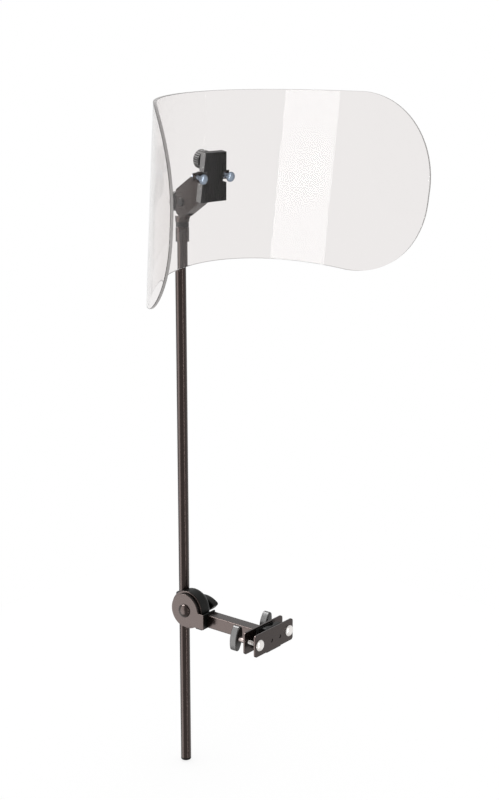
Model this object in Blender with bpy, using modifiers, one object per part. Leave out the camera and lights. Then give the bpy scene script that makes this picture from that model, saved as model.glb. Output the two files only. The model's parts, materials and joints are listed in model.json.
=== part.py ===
# Acoustic shield with stand: a bent clear sheet on a rod, held by a jointed arm with a screw clamp.
#
# Metres, +Z up. The origin is the middle of the rear jaw pad's grip face. The jaws open towards -Y,
# the arm runs towards +Y, the rod stands upright at the arm's far end, and the shield's hollow side
# faces -Y. X runs along the jaw plates.

import bpy
import bmesh
import numpy as np
from math import acos, asin, atan2, ceil, cos, hypot, pi, radians, sin, sqrt
from mathutils import Matrix, Vector

MM = 0.001
GAP = 0.3 * MM              # between pieces that touch
RUN = 0.3 * MM              # radial clearance of what turns or slides in a bore

# Jaws
JAW_LENGTH = 91 * MM
JAW_HEIGHT = 33 * MM
JAW_SHEET = 3 * MM
JAW_CORNER = 4 * MM
JAW_GAP = 16.1 * MM         # between the facing sides of the two plates
PAD_LENGTH = 40 * MM
PAD_HEIGHT = 29 * MM
PAD_THICKNESS = 1.7 * MM
VEE_LENGTH = 34 * MM
VEE_DEPTH = 8.7 * MM
VEE_LIP = 3.8 * MM          # below the front plate
VEE_OFFSET = 3.5 * MM       # the block sits a little off the plate's middle
VEE_MOUTH = 20 * MM
VEE_CUT = 5.5 * MM
VEE_SCREW_PITCH = 20 * MM
VEE_SCREW_HOLE = 5.5 * MM
VEE_SCREW_HEAD = 4.9 * MM
VEE_SCREW_SUNK = 0.8 * MM
VEE_SCREW_DROP = 2 * MM     # below the plate's middle
VEE_SCREW_WALL = 2.2 * MM   # left behind the blind hole
VEE_EDGE = 0.8 * MM

# Jaw bolts and their knobs
JAW_BOLT = 6 * MM
JAW_BOLT_PITCH = 70.3 * MM
JAW_BOLT_HOLE = 6.8 * MM
JAW_BOLT_HEAD = 17 * MM
JAW_BOLT_DOME = 4.2 * MM
JAW_BOLT_LENGTH = 43.5 * MM
JAW_KNOB_LENGTH = 37 * MM
JAW_KNOB_WIDTH = 15 * MM
JAW_KNOB_TIP = 4.5 * MM     # radius of its rounded tips
JAW_KNOB_DEPTH = 12.6 * MM
JAW_KNOB_BORE = 11 * MM     # depth of the blind hole in the plastic
JAW_KNOB_EDGE = 1.6 * MM
LEFT_KNOB_LEAN = radians(12)
RIGHT_KNOB_LEAN = radians(16)
FERRULE = 8 * MM
FERRULE_LENGTH = 14.5 * MM

# Arm
TUBE = 20 * MM
TUBE_WALL = 1.5 * MM
TUBE_CORNER = 1.6 * MM
TUBE_DROP = 1.8 * MM        # the tube's axis lies below the jaws' middle
ARM_LENGTH = 98 * MM
COLLAR_HEIGHT = 24 * MM
COLLAR_RISE = 0.8 * MM      # the collar's middle lies above the tube's axis
COLLAR_LENGTH = 13.2 * MM
SPIGOT_LENGTH = 24 * MM
COLLAR_EDGE = 0.8 * MM

# Rod
ROD = 16 * MM
ROD_WALL = 1.5 * MM
ROD_X = -6.5 * MM
ROD_Y = 152.3 * MM
ROD_LOW = -244 * MM
ROD_TOP = 601 * MM
PLUG_HEAD = 3 * MM
PLUG_SPIGOT = 14 * MM
PLUG_EDGE = 0.8 * MM
SLEEVE = 21.2 * MM
SLEEVE_LOW = 569 * MM
SLEEVE_HEIGHT = 21 * MM
RING = 20.4 * MM
RING_HEIGHT = 6.6 * MM
BAND_EDGE = 0.5 * MM        # of the sleeve and the ring

# Swivel clamp on the rod: everything is stacked along X on one bolt
PIVOT_Y = 136.2 * MM
PIVOT_Z = 12.2 * MM
EAR_RADIUS = 26 * MM
EAR_SHEET = 2.5 * MM
EAR_REACH = 37.7 * MM       # from the bolt to the tab's end
EAR_TAB_TOP = 1.3 * MM
EAR_TAB_BOTTOM = -22.3 * MM
EAR_FILLET = 3 * MM         # where the tab meets the round
EAR_CORNER = 1 * MM
FRICTION_RADIUS = 25.4 * MM
FRICTION_THICKNESS = 2 * MM
PRESSURE_RADIUS = 29.3 * MM
PRESSURE_THICKNESS = 2 * MM
CLAMP_RADIUS = 29.5 * MM
CLAMP_SHOULDER = 14 * MM
CLAMP_CROWN = 12.6 * MM     # length over which the body rounds off
CLAMP_WIDTH = 26 * MM
CLAMP_WALL = 1.4 * MM       # beside the bush
BOSS_WALL = 3 * MM          # behind the bush
BOSS_HEIGHT = 40 * MM
BUSH_WALL = 0.9 * MM
COLLAR_CLEARANCE = 1 * MM   # between the arm's collar and the discs that turn beside it
JOINT_BOLT = 8 * MM
JOINT_BOLT_HEAD = 20.8 * MM
JOINT_BOLT_DOME = 5.2 * MM
JOINT_BOLT_END = 4 * MM     # short of the knob's end
KNOB_WASHER = 20 * MM
KNOB_WASHER_THICKNESS = 1.5 * MM
JOINT_KNOB_LENGTH = 55.8 * MM
JOINT_KNOB_WIDTH = 26 * MM
JOINT_KNOB_TIP = 3 * MM
JOINT_KNOB_LEAN = radians(172)  # direction of its long axis, from +Y
JOINT_KNOB_DEPTH = 12.8 * MM
JOINT_KNOB_EDGE = 2 * MM
JOINT_KNOB_BORE = 10.5 * MM
INSERT_RADIUS = 7 * MM
INSERT_LENGTH = 8 * MM

# Head: pieces turn with the rod, so they are drawn in a frame on its axis
HEAD_TURN = radians(-12.4)
SOCKET_LOW_RADIUS = 10.8 * MM
SOCKET_TOP_RADIUS = 11.5 * MM
SOCKET_SHOULDER = 606 * MM
TILT_Y = -8 * MM            # tilt pivot, in front of the rod's axis
TILT_Z = 625.5 * MM
TONGUE_RADIUS = 10.5 * MM
TONGUE_THICKNESS = 9.4 * MM
TONGUE_STEM_FRONT = -6 * MM
TONGUE_STEM_REAR = 6 * MM
SOCKET_ROOF = 1.2 * MM      # above the rod's end, under the tongue
NECK_WIDTH = 15 * MM
NECK_SHEET = 2.5 * MM
NECK_HEEL = 20.5 * MM       # radius of the flanks' rounded end about the pivot
NECK_REAR = 6.8 * MM
NECK_REAR_TOP = 643.7 * MM
NECK_RISE_Y = -39 * MM
NECK_RISE_Z = 663.6 * MM
NECK_TOP_Y = -51 * MM
NECK_TOP_Z = 668 * MM
NECK_SOLE_Y = -49 * MM
NECK_SOLE_Z = 622.1 * MM
NECK_WEB_START = 6 * MM     # the folded sole starts this far past the rounded end
NECK_EDGE_LIFT = 1.5 * MM   # the flanks' lower corner, above the front plate's edge
BRIDGE_HEIGHT = 21 * MM
BRIDGE_LOW = 617 * MM
FLANGE_WIDTH = 24 * MM
PIN = 6 * MM
PIN_HEAD = 12 * MM
PIN_HEAD_HEIGHT = 2 * MM
PIN_EDGE = 0.7 * MM

# Sheet, block and bolts: stacked along the sheet's own normal, from the hollow face backwards
STACK_Y = -83.4 * MM
STACK_Z = 657.85 * MM
STACK_TILT = radians(12.4)
STACK_ROLL = radians(5.0)
SHEET_THICKNESS = 4 * MM
SHEET_LENGTH = 634.5 * MM   # along the bend
SHEET_HEIGHT = 237.7 * MM   # at the middle
SHEET_CORNER = 110.5 * MM
SHEET_FLARE = 7.33 * MM     # how much each edge rises 200 mm from the middle
SHEET_RADIUS = 188.4 * MM   # of the bend, at the middle
SHEET_EASE = 0.53           # share of the curvature lost 300 mm from the middle
SHEET_COLUMNS = 52
FLARE_AT = 200 * MM
EASE_AT = 300 * MM
BLOCK_TOP = 36 * MM
BLOCK_BOTTOM = 45.6 * MM
BLOCK_HEIGHT = 68.7 * MM
BLOCK_DEPTH = 11.3 * MM
BLOCK_EDGE = 1 * MM
NOTCH_HEIGHT = 16.5 * MM
NOTCH_DEPTH = 6 * MM
BOLT_PITCH = 46.6 * MM
BOLT_RISE = 1 * MM
BOLT = 6 * MM
BOLT_HOLE = 6.8 * MM
BOLT_HEAD = 14.4 * MM
BOLT_DOME = 3.6 * MM
BOLT_TAIL = 0.8 * MM        # past the nut
NUT_ACROSS = 10 * MM
NUT_HEIGHT = 5 * MM
BAR_END = 8.3 * MM          # past each bolt's middle
BAR_HEIGHT = 12 * MM
BAR_SHEET = 2.5 * MM
FLANGE_LOW = -36 * MM
FLANGE_HIGH = 33 * MM
KNURL_RISE = 19.6 * MM
KNURL_RADIUS = 13.5 * MM
KNURL_DEPTH = 14 * MM
KNURL_NECK = 7.4 * MM
KNURL_NECK_RADIUS = 5 * MM
KNURL_COUNT = 24            # grooves round each turned knob
KNURL_CUT = 0.7 * MM
KNURL_EDGE = 1.2 * MM
SCREW = 6 * MM
SCREW_HOLE = 6.6 * MM
SCREW_SEAT = 8 * MM         # depth of the block's blind hole
SMALL_WASHER = 14 * MM
SMALL_WASHER_THICKNESS = 1.4 * MM
LOCK_Z = 627 * MM
LOCK_RADIUS = 14 * MM
LOCK_DEPTH = 13 * MM
LOCK_NECK = 1.6 * MM

# Places that follow from the sizes above
PAD_BACK = PAD_THICKNESS
REAR_FACE = PAD_BACK + GAP
REAR_BACK = REAR_FACE + JAW_SHEET
FRONT_BACK = REAR_FACE - JAW_GAP
FRONT_FACE = FRONT_BACK - JAW_SHEET
FERRULE_START = REAR_BACK + GAP
FERRULE_END = FERRULE_START + FERRULE_LENGTH
JAW_KNOB_START = FERRULE_END + GAP
TUBE_START = REAR_BACK + GAP
TUBE_END = TUBE_START + ARM_LENGTH
ROD_RADIUS = ROD / 2
BUSH_INNER = ROD_RADIUS + RUN
BUSH_OUTER = BUSH_INNER + BUSH_WALL
BUSH_BORE = BUSH_OUTER + RUN
CLAMP_START = ROD_X - BUSH_BORE - CLAMP_WALL
CLAMP_END = CLAMP_START + CLAMP_WIDTH
PRESSURE_START = CLAMP_START - GAP - PRESSURE_THICKNESS
FRICTION_START = PRESSURE_START - GAP - FRICTION_THICKNESS
EAR_END = FRICTION_START - GAP
EAR_START = EAR_END - EAR_SHEET
WASHER_START = CLAMP_END + GAP
JOINT_KNOB_START = WASHER_START + KNOB_WASHER_THICKNESS + GAP
COLLAR_ROUND = max(EAR_RADIUS, PRESSURE_RADIUS, CLAMP_RADIUS) + COLLAR_CLEARANCE
SLEEVE_TOP = SLEEVE_LOW + SLEEVE_HEIGHT
RING_LOW = SLEEVE_TOP + GAP
SOCKET_LOW = RING_LOW + RING_HEIGHT + GAP
BLOCK_FRONT = SHEET_THICKNESS + GAP
BLOCK_BACK = BLOCK_FRONT + BLOCK_DEPTH
BAR_FRONT = BLOCK_BACK - BAR_SHEET
FLANGE_FRONT = BLOCK_BACK + GAP
FLANGE_BACK = FLANGE_FRONT + NECK_SHEET
NUT_FRONT = BLOCK_BACK + GAP
KNURL_WASHER_FRONT = FLANGE_BACK + GAP
KNURL_FRONT = KNURL_WASHER_FRONT + SMALL_WASHER_THICKNESS + GAP
BRIDGE_FRONT = NECK_REAR - NECK_SHEET
LOCK_WASHER_START = NECK_REAR + GAP
LOCK_START = LOCK_WASHER_START + SMALL_WASHER_THICKNESS + GAP

SIDES = (("left", -1), ("right", 1))
AXIS_TURN = {
    "X": Matrix.Rotation(pi / 2, 4, "Y"),
    "Y": Matrix.Rotation(-pi / 2, 4, "X"),
    "Z": Matrix.Identity(4),
}

# A clean scene with two collections
for old in list(bpy.data.objects):
    bpy.data.objects.remove(old, do_unlink=True)


def new_collection(name):
    collection = bpy.data.collections.new(name)
    bpy.context.scene.collection.children.link(collection)
    return collection


PARTS = new_collection("acoustic_shield_with_stand")
CUTTERS = new_collection("cutters")


def material(name, colour, roughness, metallic=0.0, alpha=1.0):
    made = bpy.data.materials.new(name)
    made.use_nodes = True
    shader = made.node_tree.nodes["Principled BSDF"]
    shader.inputs["Base Color"].default_value = (*colour, 1.0)
    shader.inputs["Roughness"].default_value = roughness
    shader.inputs["Metallic"].default_value = metallic
    shader.inputs["Alpha"].default_value = alpha
    return made


COATED_STEEL = material("coated_steel", (0.045, 0.038, 0.036), 0.38, 0.6)
BLACK_PLASTIC = material("black_plastic", (0.012, 0.012, 0.011), 0.42)
NYLON = material("nylon", (0.02, 0.02, 0.02), 0.55)
RUBBER = material("rubber", (0.015, 0.015, 0.015), 0.8)
BRIGHT_ZINC = material("bright_zinc", (0.75, 0.77, 0.8), 0.25, 1.0)
BLUE_ZINC = material("blue_zinc", (0.42, 0.5, 0.6), 0.3, 1.0)
BRASS = material("brass", (0.65, 0.48, 0.22), 0.3, 1.0)
CLEAR_SHEET = material("clear_sheet", (0.93, 0.93, 0.92), 0.03, 0.0, 0.25)


# Frames that the head's pieces are drawn in
def frame(name, parent, place, turn):
    empty = bpy.data.objects.new(name, None)
    PARTS.objects.link(empty)
    empty.parent = parent
    empty.location = place
    empty.rotation_euler = turn
    return empty


HEAD_FRAME = frame("head_frame", None, (ROD_X, ROD_Y, 0), (0, 0, HEAD_TURN))
TILT_FRAME = frame("tilt_frame", HEAD_FRAME, (0, TILT_Y, TILT_Z), (0, 0, 0))
STACK_FRAME = frame("stack_frame", TILT_FRAME, (0, STACK_Y - TILT_Y, STACK_Z - TILT_Z), (STACK_TILT, 0, 0))
ROLL_FRAME = frame("roll_frame", STACK_FRAME, (0, 0, KNURL_RISE), (0, -STACK_ROLL, 0))
bpy.context.view_layer.update()


def link(mesh, name, finish=None, parent=None, place=(0, 0, 0), collection=None):
    piece = bpy.data.objects.new(name, mesh)
    (collection or PARTS).objects.link(piece)
    piece.parent = parent
    piece.location = place
    if finish:
        mesh.materials.append(finish)
    return piece


def shade(piece, angle=35):
    piece.data.shade_smooth()
    piece.data.set_sharp_from_angle(angle=radians(angle))
    return piece


def mesh_of(build, name):
    """A mesh filled by build(bmesh), with its faces pointing out."""
    made = bmesh.new()
    build(made)
    bmesh.ops.recalc_face_normals(made, faces=made.faces)
    mesh = bpy.data.meshes.new(name)
    made.to_mesh(mesh)
    made.free()
    return mesh


def box_mesh(low, high, name="box"):
    low, high = Vector(low), Vector(high)
    place = Matrix.Translation((low + high) / 2) @ Matrix.Diagonal((*(high - low), 1.0))
    return mesh_of(lambda made: bmesh.ops.create_cube(made, size=1.0, matrix=place), name)


def rod_mesh(axis, start, end, radius, centre=(0, 0), sides=32, end_radius=None, name="rod"):
    """A cylinder or cone along X, Y or Z, whose centre is given by its other two coordinates."""
    along = (start + end) / 2
    places = {"X": (along, *centre), "Y": (centre[0], along, centre[1]), "Z": (*centre, along)}
    turn = Matrix.Translation(places[axis]) @ AXIS_TURN[axis]

    def build(made):
        bmesh.ops.create_cone(made, cap_ends=True, segments=sides, radius1=radius,
                              radius2=radius if end_radius is None else end_radius,
                              depth=end - start, matrix=turn)
    return mesh_of(build, name)


def turned(name, profile, axis="Z", steps=32, finish=None, parent=None, place=(0, 0, 0), collection=None):
    """A profile of (radius, height) points, top to bottom, spun about the given axis."""
    made = bmesh.new()
    points = [made.verts.new((radius, 0, height)) for radius, height in profile]
    for first, second in zip(points, points[1:]):
        made.edges.new((first, second))
    mesh = bpy.data.meshes.new(name)
    made.to_mesh(mesh)
    made.free()
    piece = link(mesh, name, finish, parent, place, collection)
    spin = piece.modifiers.new("spin", "SCREW")
    spin.steps = spin.render_steps = steps
    spin.use_merge_vertices = True
    spin.merge_threshold = 0.00001
    spin.use_smooth_shade = True
    return as_mesh(piece, AXIS_TURN[axis])


def outline(name, points, thickness, axis, start, finish=None, parent=None, place=(0, 0, 0)):
    """A flat outline of two-coordinate points, given its thickness along X, Y or Z from start."""
    curve = bpy.data.curves.new(name, "CURVE")
    curve.dimensions = "2D"
    curve.fill_mode = "BOTH"
    curve.extrude = thickness / 2
    spline = curve.splines.new("POLY")
    spline.points.add(len(points) - 1)
    for point, (across, up) in zip(spline.points, points):
        point.co = (across, up, 0, 1)
    spline.use_cyclic_u = True
    piece = link(curve, name, finish, parent, place)
    stand = {"X": Matrix(((0, 0, 1, 0), (1, 0, 0, 0), (0, 1, 0, 0), (0, 0, 0, 1))),
             "Y": Matrix(((1, 0, 0, 0), (0, 0, -1, 0), (0, 1, 0, 0), (0, 0, 0, 1))),
             "Z": Matrix.Identity(4)}[axis]
    along = {"X": (1, 0, 0), "Y": (0, 1, 0), "Z": (0, 0, 1)}[axis]
    shift = Matrix.Translation(Vector(along) * (start + thickness / 2))
    return as_mesh(piece, shift @ stand)


def as_mesh(piece, turn=None):
    """The piece with its modifiers applied, its mesh turned in its own frame and its caps welded."""
    bpy.context.view_layer.update()
    shape = piece.evaluated_get(bpy.context.evaluated_depsgraph_get())
    mesh = bpy.data.meshes.new_from_object(shape)
    made = bmesh.new()
    made.from_mesh(mesh)
    bmesh.ops.remove_doubles(made, verts=made.verts, dist=0.000002)
    if turn:
        bmesh.ops.transform(made, matrix=turn, verts=made.verts)
    bmesh.ops.recalc_face_normals(made, faces=made.faces)
    made.to_mesh(mesh)
    made.free()
    name, parent, place = piece.name, piece.parent, piece.location.copy()
    collection = piece.users_collection[0]
    bpy.data.objects.remove(piece, do_unlink=True)
    return link(mesh, name, None, parent, place, collection)


def change(piece, mesh, operation):
    """Cuts a mesh out of the piece, or joins it on, in the piece's own frame."""
    tool = link(mesh, piece.name + "_cutter", None, piece.parent, piece.location, CUTTERS)
    tool.hide_render = True
    tool.display_type = "WIRE"
    step = piece.modifiers.new("shape", "BOOLEAN")
    step.operation = operation
    step.solver = "EXACT"
    step.object = tool
    bpy.context.view_layer.update()
    shape = piece.evaluated_get(bpy.context.evaluated_depsgraph_get())
    made = bpy.data.meshes.new_from_object(shape)
    piece.modifiers.clear()
    piece.data = made
    bpy.data.objects.remove(tool, do_unlink=True)
    return piece


def cut(piece, *meshes):
    for mesh in meshes:
        change(piece, mesh, "DIFFERENCE")
    return piece


def join(piece, *meshes):
    for mesh in meshes:
        change(piece, mesh, "UNION")
    return piece


def soften(piece, width, segments=2, angle=40):
    edge = piece.modifiers.new("edge", "BEVEL")
    edge.width = width
    edge.segments = segments
    edge.limit_method = "ANGLE"
    edge.angle_limit = radians(angle)
    edge.harden_normals = False
    bpy.context.view_layer.update()
    shape = piece.evaluated_get(bpy.context.evaluated_depsgraph_get())
    made = bpy.data.meshes.new_from_object(shape)
    piece.modifiers.clear()
    piece.data = made
    return piece


def arc(centre, radius, start, end, count):
    """Points on a circle from one angle to another, in radians."""
    angles = np.linspace(start, end, count)
    return [(centre[0] + radius * cos(angle), centre[1] + radius * sin(angle)) for angle in angles]


def rounded_rectangle(width, height, corner, centre=(0, 0), count=5):
    points = []
    for across, up, start in ((1, 1, 0), (-1, 1, pi / 2), (-1, -1, pi), (1, -1, 3 * pi / 2)):
        middle = (centre[0] + across * (width / 2 - corner), centre[1] + up * (height / 2 - corner))
        points += arc(middle, corner, start, start + pi / 2, count)
    return points


def wing(length, width, tip, lean, count=12):
    """A wing knob's outline: two arcs that meet in rounded tips, its long axis turned by the lean."""
    reach, half = length / 2 - tip, width / 2
    side = (reach ** 2 + half ** 2 - tip ** 2) / (2 * (half - tip))
    spread = asin(reach / (side - tip))
    points = arc((reach, 0), tip, spread - pi / 2, pi / 2 - spread, count // 2)[:-1]
    points += arc((0, half - side), side, pi / 2 - spread, pi / 2 + spread, count)[:-1]
    points += [(-across, -up) for across, up in points]
    return [(across * cos(lean) - up * sin(lean), across * sin(lean) + up * cos(lean))
            for across, up in points]


def dome(radius, height, foot, count=4):
    """Profile of a low round head: its flat seat is at 0 and its crown at the height."""
    crown = (radius ** 2 + (height - foot) ** 2) / (2 * (height - foot))
    reach = asin(min(1.0, radius / crown))
    profile = [(crown * sin(reach * step / count), height - crown * (1 - cos(reach * step / count)))
               for step in range(count + 1)]
    profile[0] = (0, height)
    profile[-1] = (radius, foot)
    return profile + [(radius, 0)]


def carriage_bolt(name, head, dome_height, shank, length, steps=28):
    """Head on +Z with its seat at 0, and the shank running down to -length."""
    profile = dome(head / 2, dome_height, 0.25 * dome_height)
    profile += [(shank / 2, 0), (shank / 2, -length + 0.12 * shank), (0.4 * shank, -length), (0, -length)]
    return turned(name, profile, steps=steps)


def take_mesh(piece, *transforms):
    """The piece's mesh, moved, with the piece itself taken away."""
    mesh = piece.data.copy()
    for transform in transforms:
        mesh.transform(transform)
    bpy.data.objects.remove(piece, do_unlink=True)
    return mesh


# Clamp jaws
def jaw_plate(name, start):
    plate = outline(name, rounded_rectangle(JAW_LENGTH, JAW_HEIGHT, JAW_CORNER), JAW_SHEET, "Y", start)
    plate.data.materials.append(COATED_STEEL)
    for side in (-1, 1):
        cut(plate, rod_mesh("Y", start - JAW_SHEET, start + 2 * JAW_SHEET, JAW_BOLT_HOLE / 2,
                            (side * JAW_BOLT_PITCH / 2, 0), 24))
    return plate


def jaws():
    shade(jaw_plate("rear_jaw_plate", REAR_FACE))
    pad = link(box_mesh((-PAD_LENGTH / 2, 0, -PAD_HEIGHT / 2), (PAD_LENGTH / 2, PAD_BACK, PAD_HEIGHT / 2)),
               "rear_jaw_pad", RUBBER)
    shade(pad)

    front = jaw_plate("front_jaw_plate", FRONT_FACE)
    vee_low = -JAW_HEIGHT / 2 - VEE_LIP
    block_front = FRONT_BACK + GAP
    block_back = block_front + VEE_DEPTH
    block = link(box_mesh((VEE_OFFSET - VEE_LENGTH / 2, block_front, vee_low),
                          (VEE_OFFSET + VEE_LENGTH / 2, block_back, JAW_HEIGHT / 2)),
                 "vee_block", BLACK_PLASTIC)
    soften(block, VEE_EDGE, 1)
    diamond = [(VEE_OFFSET - VEE_MOUTH / 2, block_back), (VEE_OFFSET, block_back - VEE_CUT),
               (VEE_OFFSET + VEE_MOUTH / 2, block_back), (VEE_OFFSET, block_back + VEE_CUT)]
    groove = outline("groove", diamond, 2 * JAW_HEIGHT, "Z", -JAW_HEIGHT)
    cut(block, take_mesh(groove))
    for side_name, side in SIDES:
        centre = (VEE_OFFSET + side * VEE_SCREW_PITCH / 2, -VEE_SCREW_DROP)
        hole_end = block_back - VEE_CUT / 2 - VEE_SCREW_WALL
        hole = VEE_SCREW_HOLE / 2
        cut(front, rod_mesh("Y", FRONT_FACE - JAW_SHEET, FRONT_BACK + JAW_SHEET, hole, centre, 20))
        cut(block, rod_mesh("Y", FRONT_FACE, hole_end, hole, centre, 20))
        screw = rod_mesh("Y", FRONT_FACE + VEE_SCREW_SUNK, hole_end - GAP, VEE_SCREW_HEAD / 2, centre, 20)
        shade(link(screw, "vee_block_screw_" + side_name, COATED_STEEL))
    shade(front)
    shade(block)

    for side_name, side in SIDES:
        bolt = carriage_bolt("bolt", JAW_BOLT_HEAD, JAW_BOLT_DOME, JAW_BOLT, JAW_BOLT_LENGTH)
        mesh = take_mesh(bolt, Matrix.Rotation(pi / 2, 4, "X"))
        place = (side * JAW_BOLT_PITCH / 2, FRONT_FACE - GAP, 0)
        shade(link(mesh, "jaw_bolt_" + side_name, BRIGHT_ZINC, None, place))


def jaw_knob(side_name, side, lean):
    """A plastic wing knob on a steel ferrule that runs on the jaw bolt, its top leaning towards +X."""
    place = (side * JAW_BOLT_PITCH / 2, 0, 0)
    shape = wing(JAW_KNOB_LENGTH, JAW_KNOB_WIDTH, JAW_KNOB_TIP, pi / 2 - lean)
    knob = outline("jaw_knob_" + side_name, shape, JAW_KNOB_DEPTH, "Y", JAW_KNOB_START, place=place)
    knob.data.materials.append(BLACK_PLASTIC)
    soften(knob, JAW_KNOB_EDGE, 2)
    cut(knob, rod_mesh("Y", JAW_KNOB_START - JAW_KNOB_DEPTH, JAW_KNOB_START + JAW_KNOB_BORE,
                       JAW_BOLT / 2 + RUN, sides=24))
    shade(knob)
    ferrule = link(rod_mesh("Y", FERRULE_START, FERRULE_END, FERRULE / 2, sides=32),
                   "jaw_knob_ferrule_" + side_name, BRIGHT_ZINC, place=place)
    bore = rod_mesh("Y", FERRULE_START - JAW_SHEET, FERRULE_END + JAW_SHEET, JAW_BOLT / 2 + RUN, sides=24)
    cut(ferrule, bore)
    shade(ferrule)


# Arm
def arm():
    middle = -TUBE_DROP
    outside = box_mesh((-TUBE / 2, TUBE_START, middle - TUBE / 2), (TUBE / 2, TUBE_END, middle + TUBE / 2))
    tube = link(outside, "arm_tube", COATED_STEEL)
    long_edges = tube.modifiers.new("corners", "BEVEL")
    long_edges.width = TUBE_CORNER
    long_edges.segments = 3
    long_edges.limit_method = "WEIGHT"
    weights = tube.data.attributes.new("bevel_weight_edge", "FLOAT", "EDGE")
    for edge in tube.data.edges:
        ends = [tube.data.vertices[index].co for index in edge.vertices]
        weights.data[edge.index].value = 1.0 if abs(ends[0].y - ends[1].y) > TUBE else 0.0
    tube = as_mesh(tube)
    inside = TUBE / 2 - TUBE_WALL
    cut(tube, box_mesh((-inside, TUBE_START - TUBE, middle - inside),
                       (inside, TUBE_END + TUBE, middle + inside)))
    shade(tube)

    collar_start = TUBE_END + GAP
    collar_middle = middle + COLLAR_RISE
    insert = link(box_mesh((EAR_END + GAP, collar_start, collar_middle - COLLAR_HEIGHT / 2),
                           (TUBE / 2, collar_start + COLLAR_LENGTH, collar_middle + COLLAR_HEIGHT / 2)),
                  "arm_end_insert", BLACK_PLASTIC)
    soften(insert, COLLAR_EDGE, 1)
    fit = inside - GAP
    join(insert, box_mesh((-fit, TUBE_END - SPIGOT_LENGTH, middle - fit),
                          (fit, collar_start + GAP, middle + fit)))
    cut(insert, rod_mesh("X", EAR_START, TUBE, COLLAR_ROUND, (PIVOT_Y, PIVOT_Z), 72))
    shade(insert)


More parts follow.
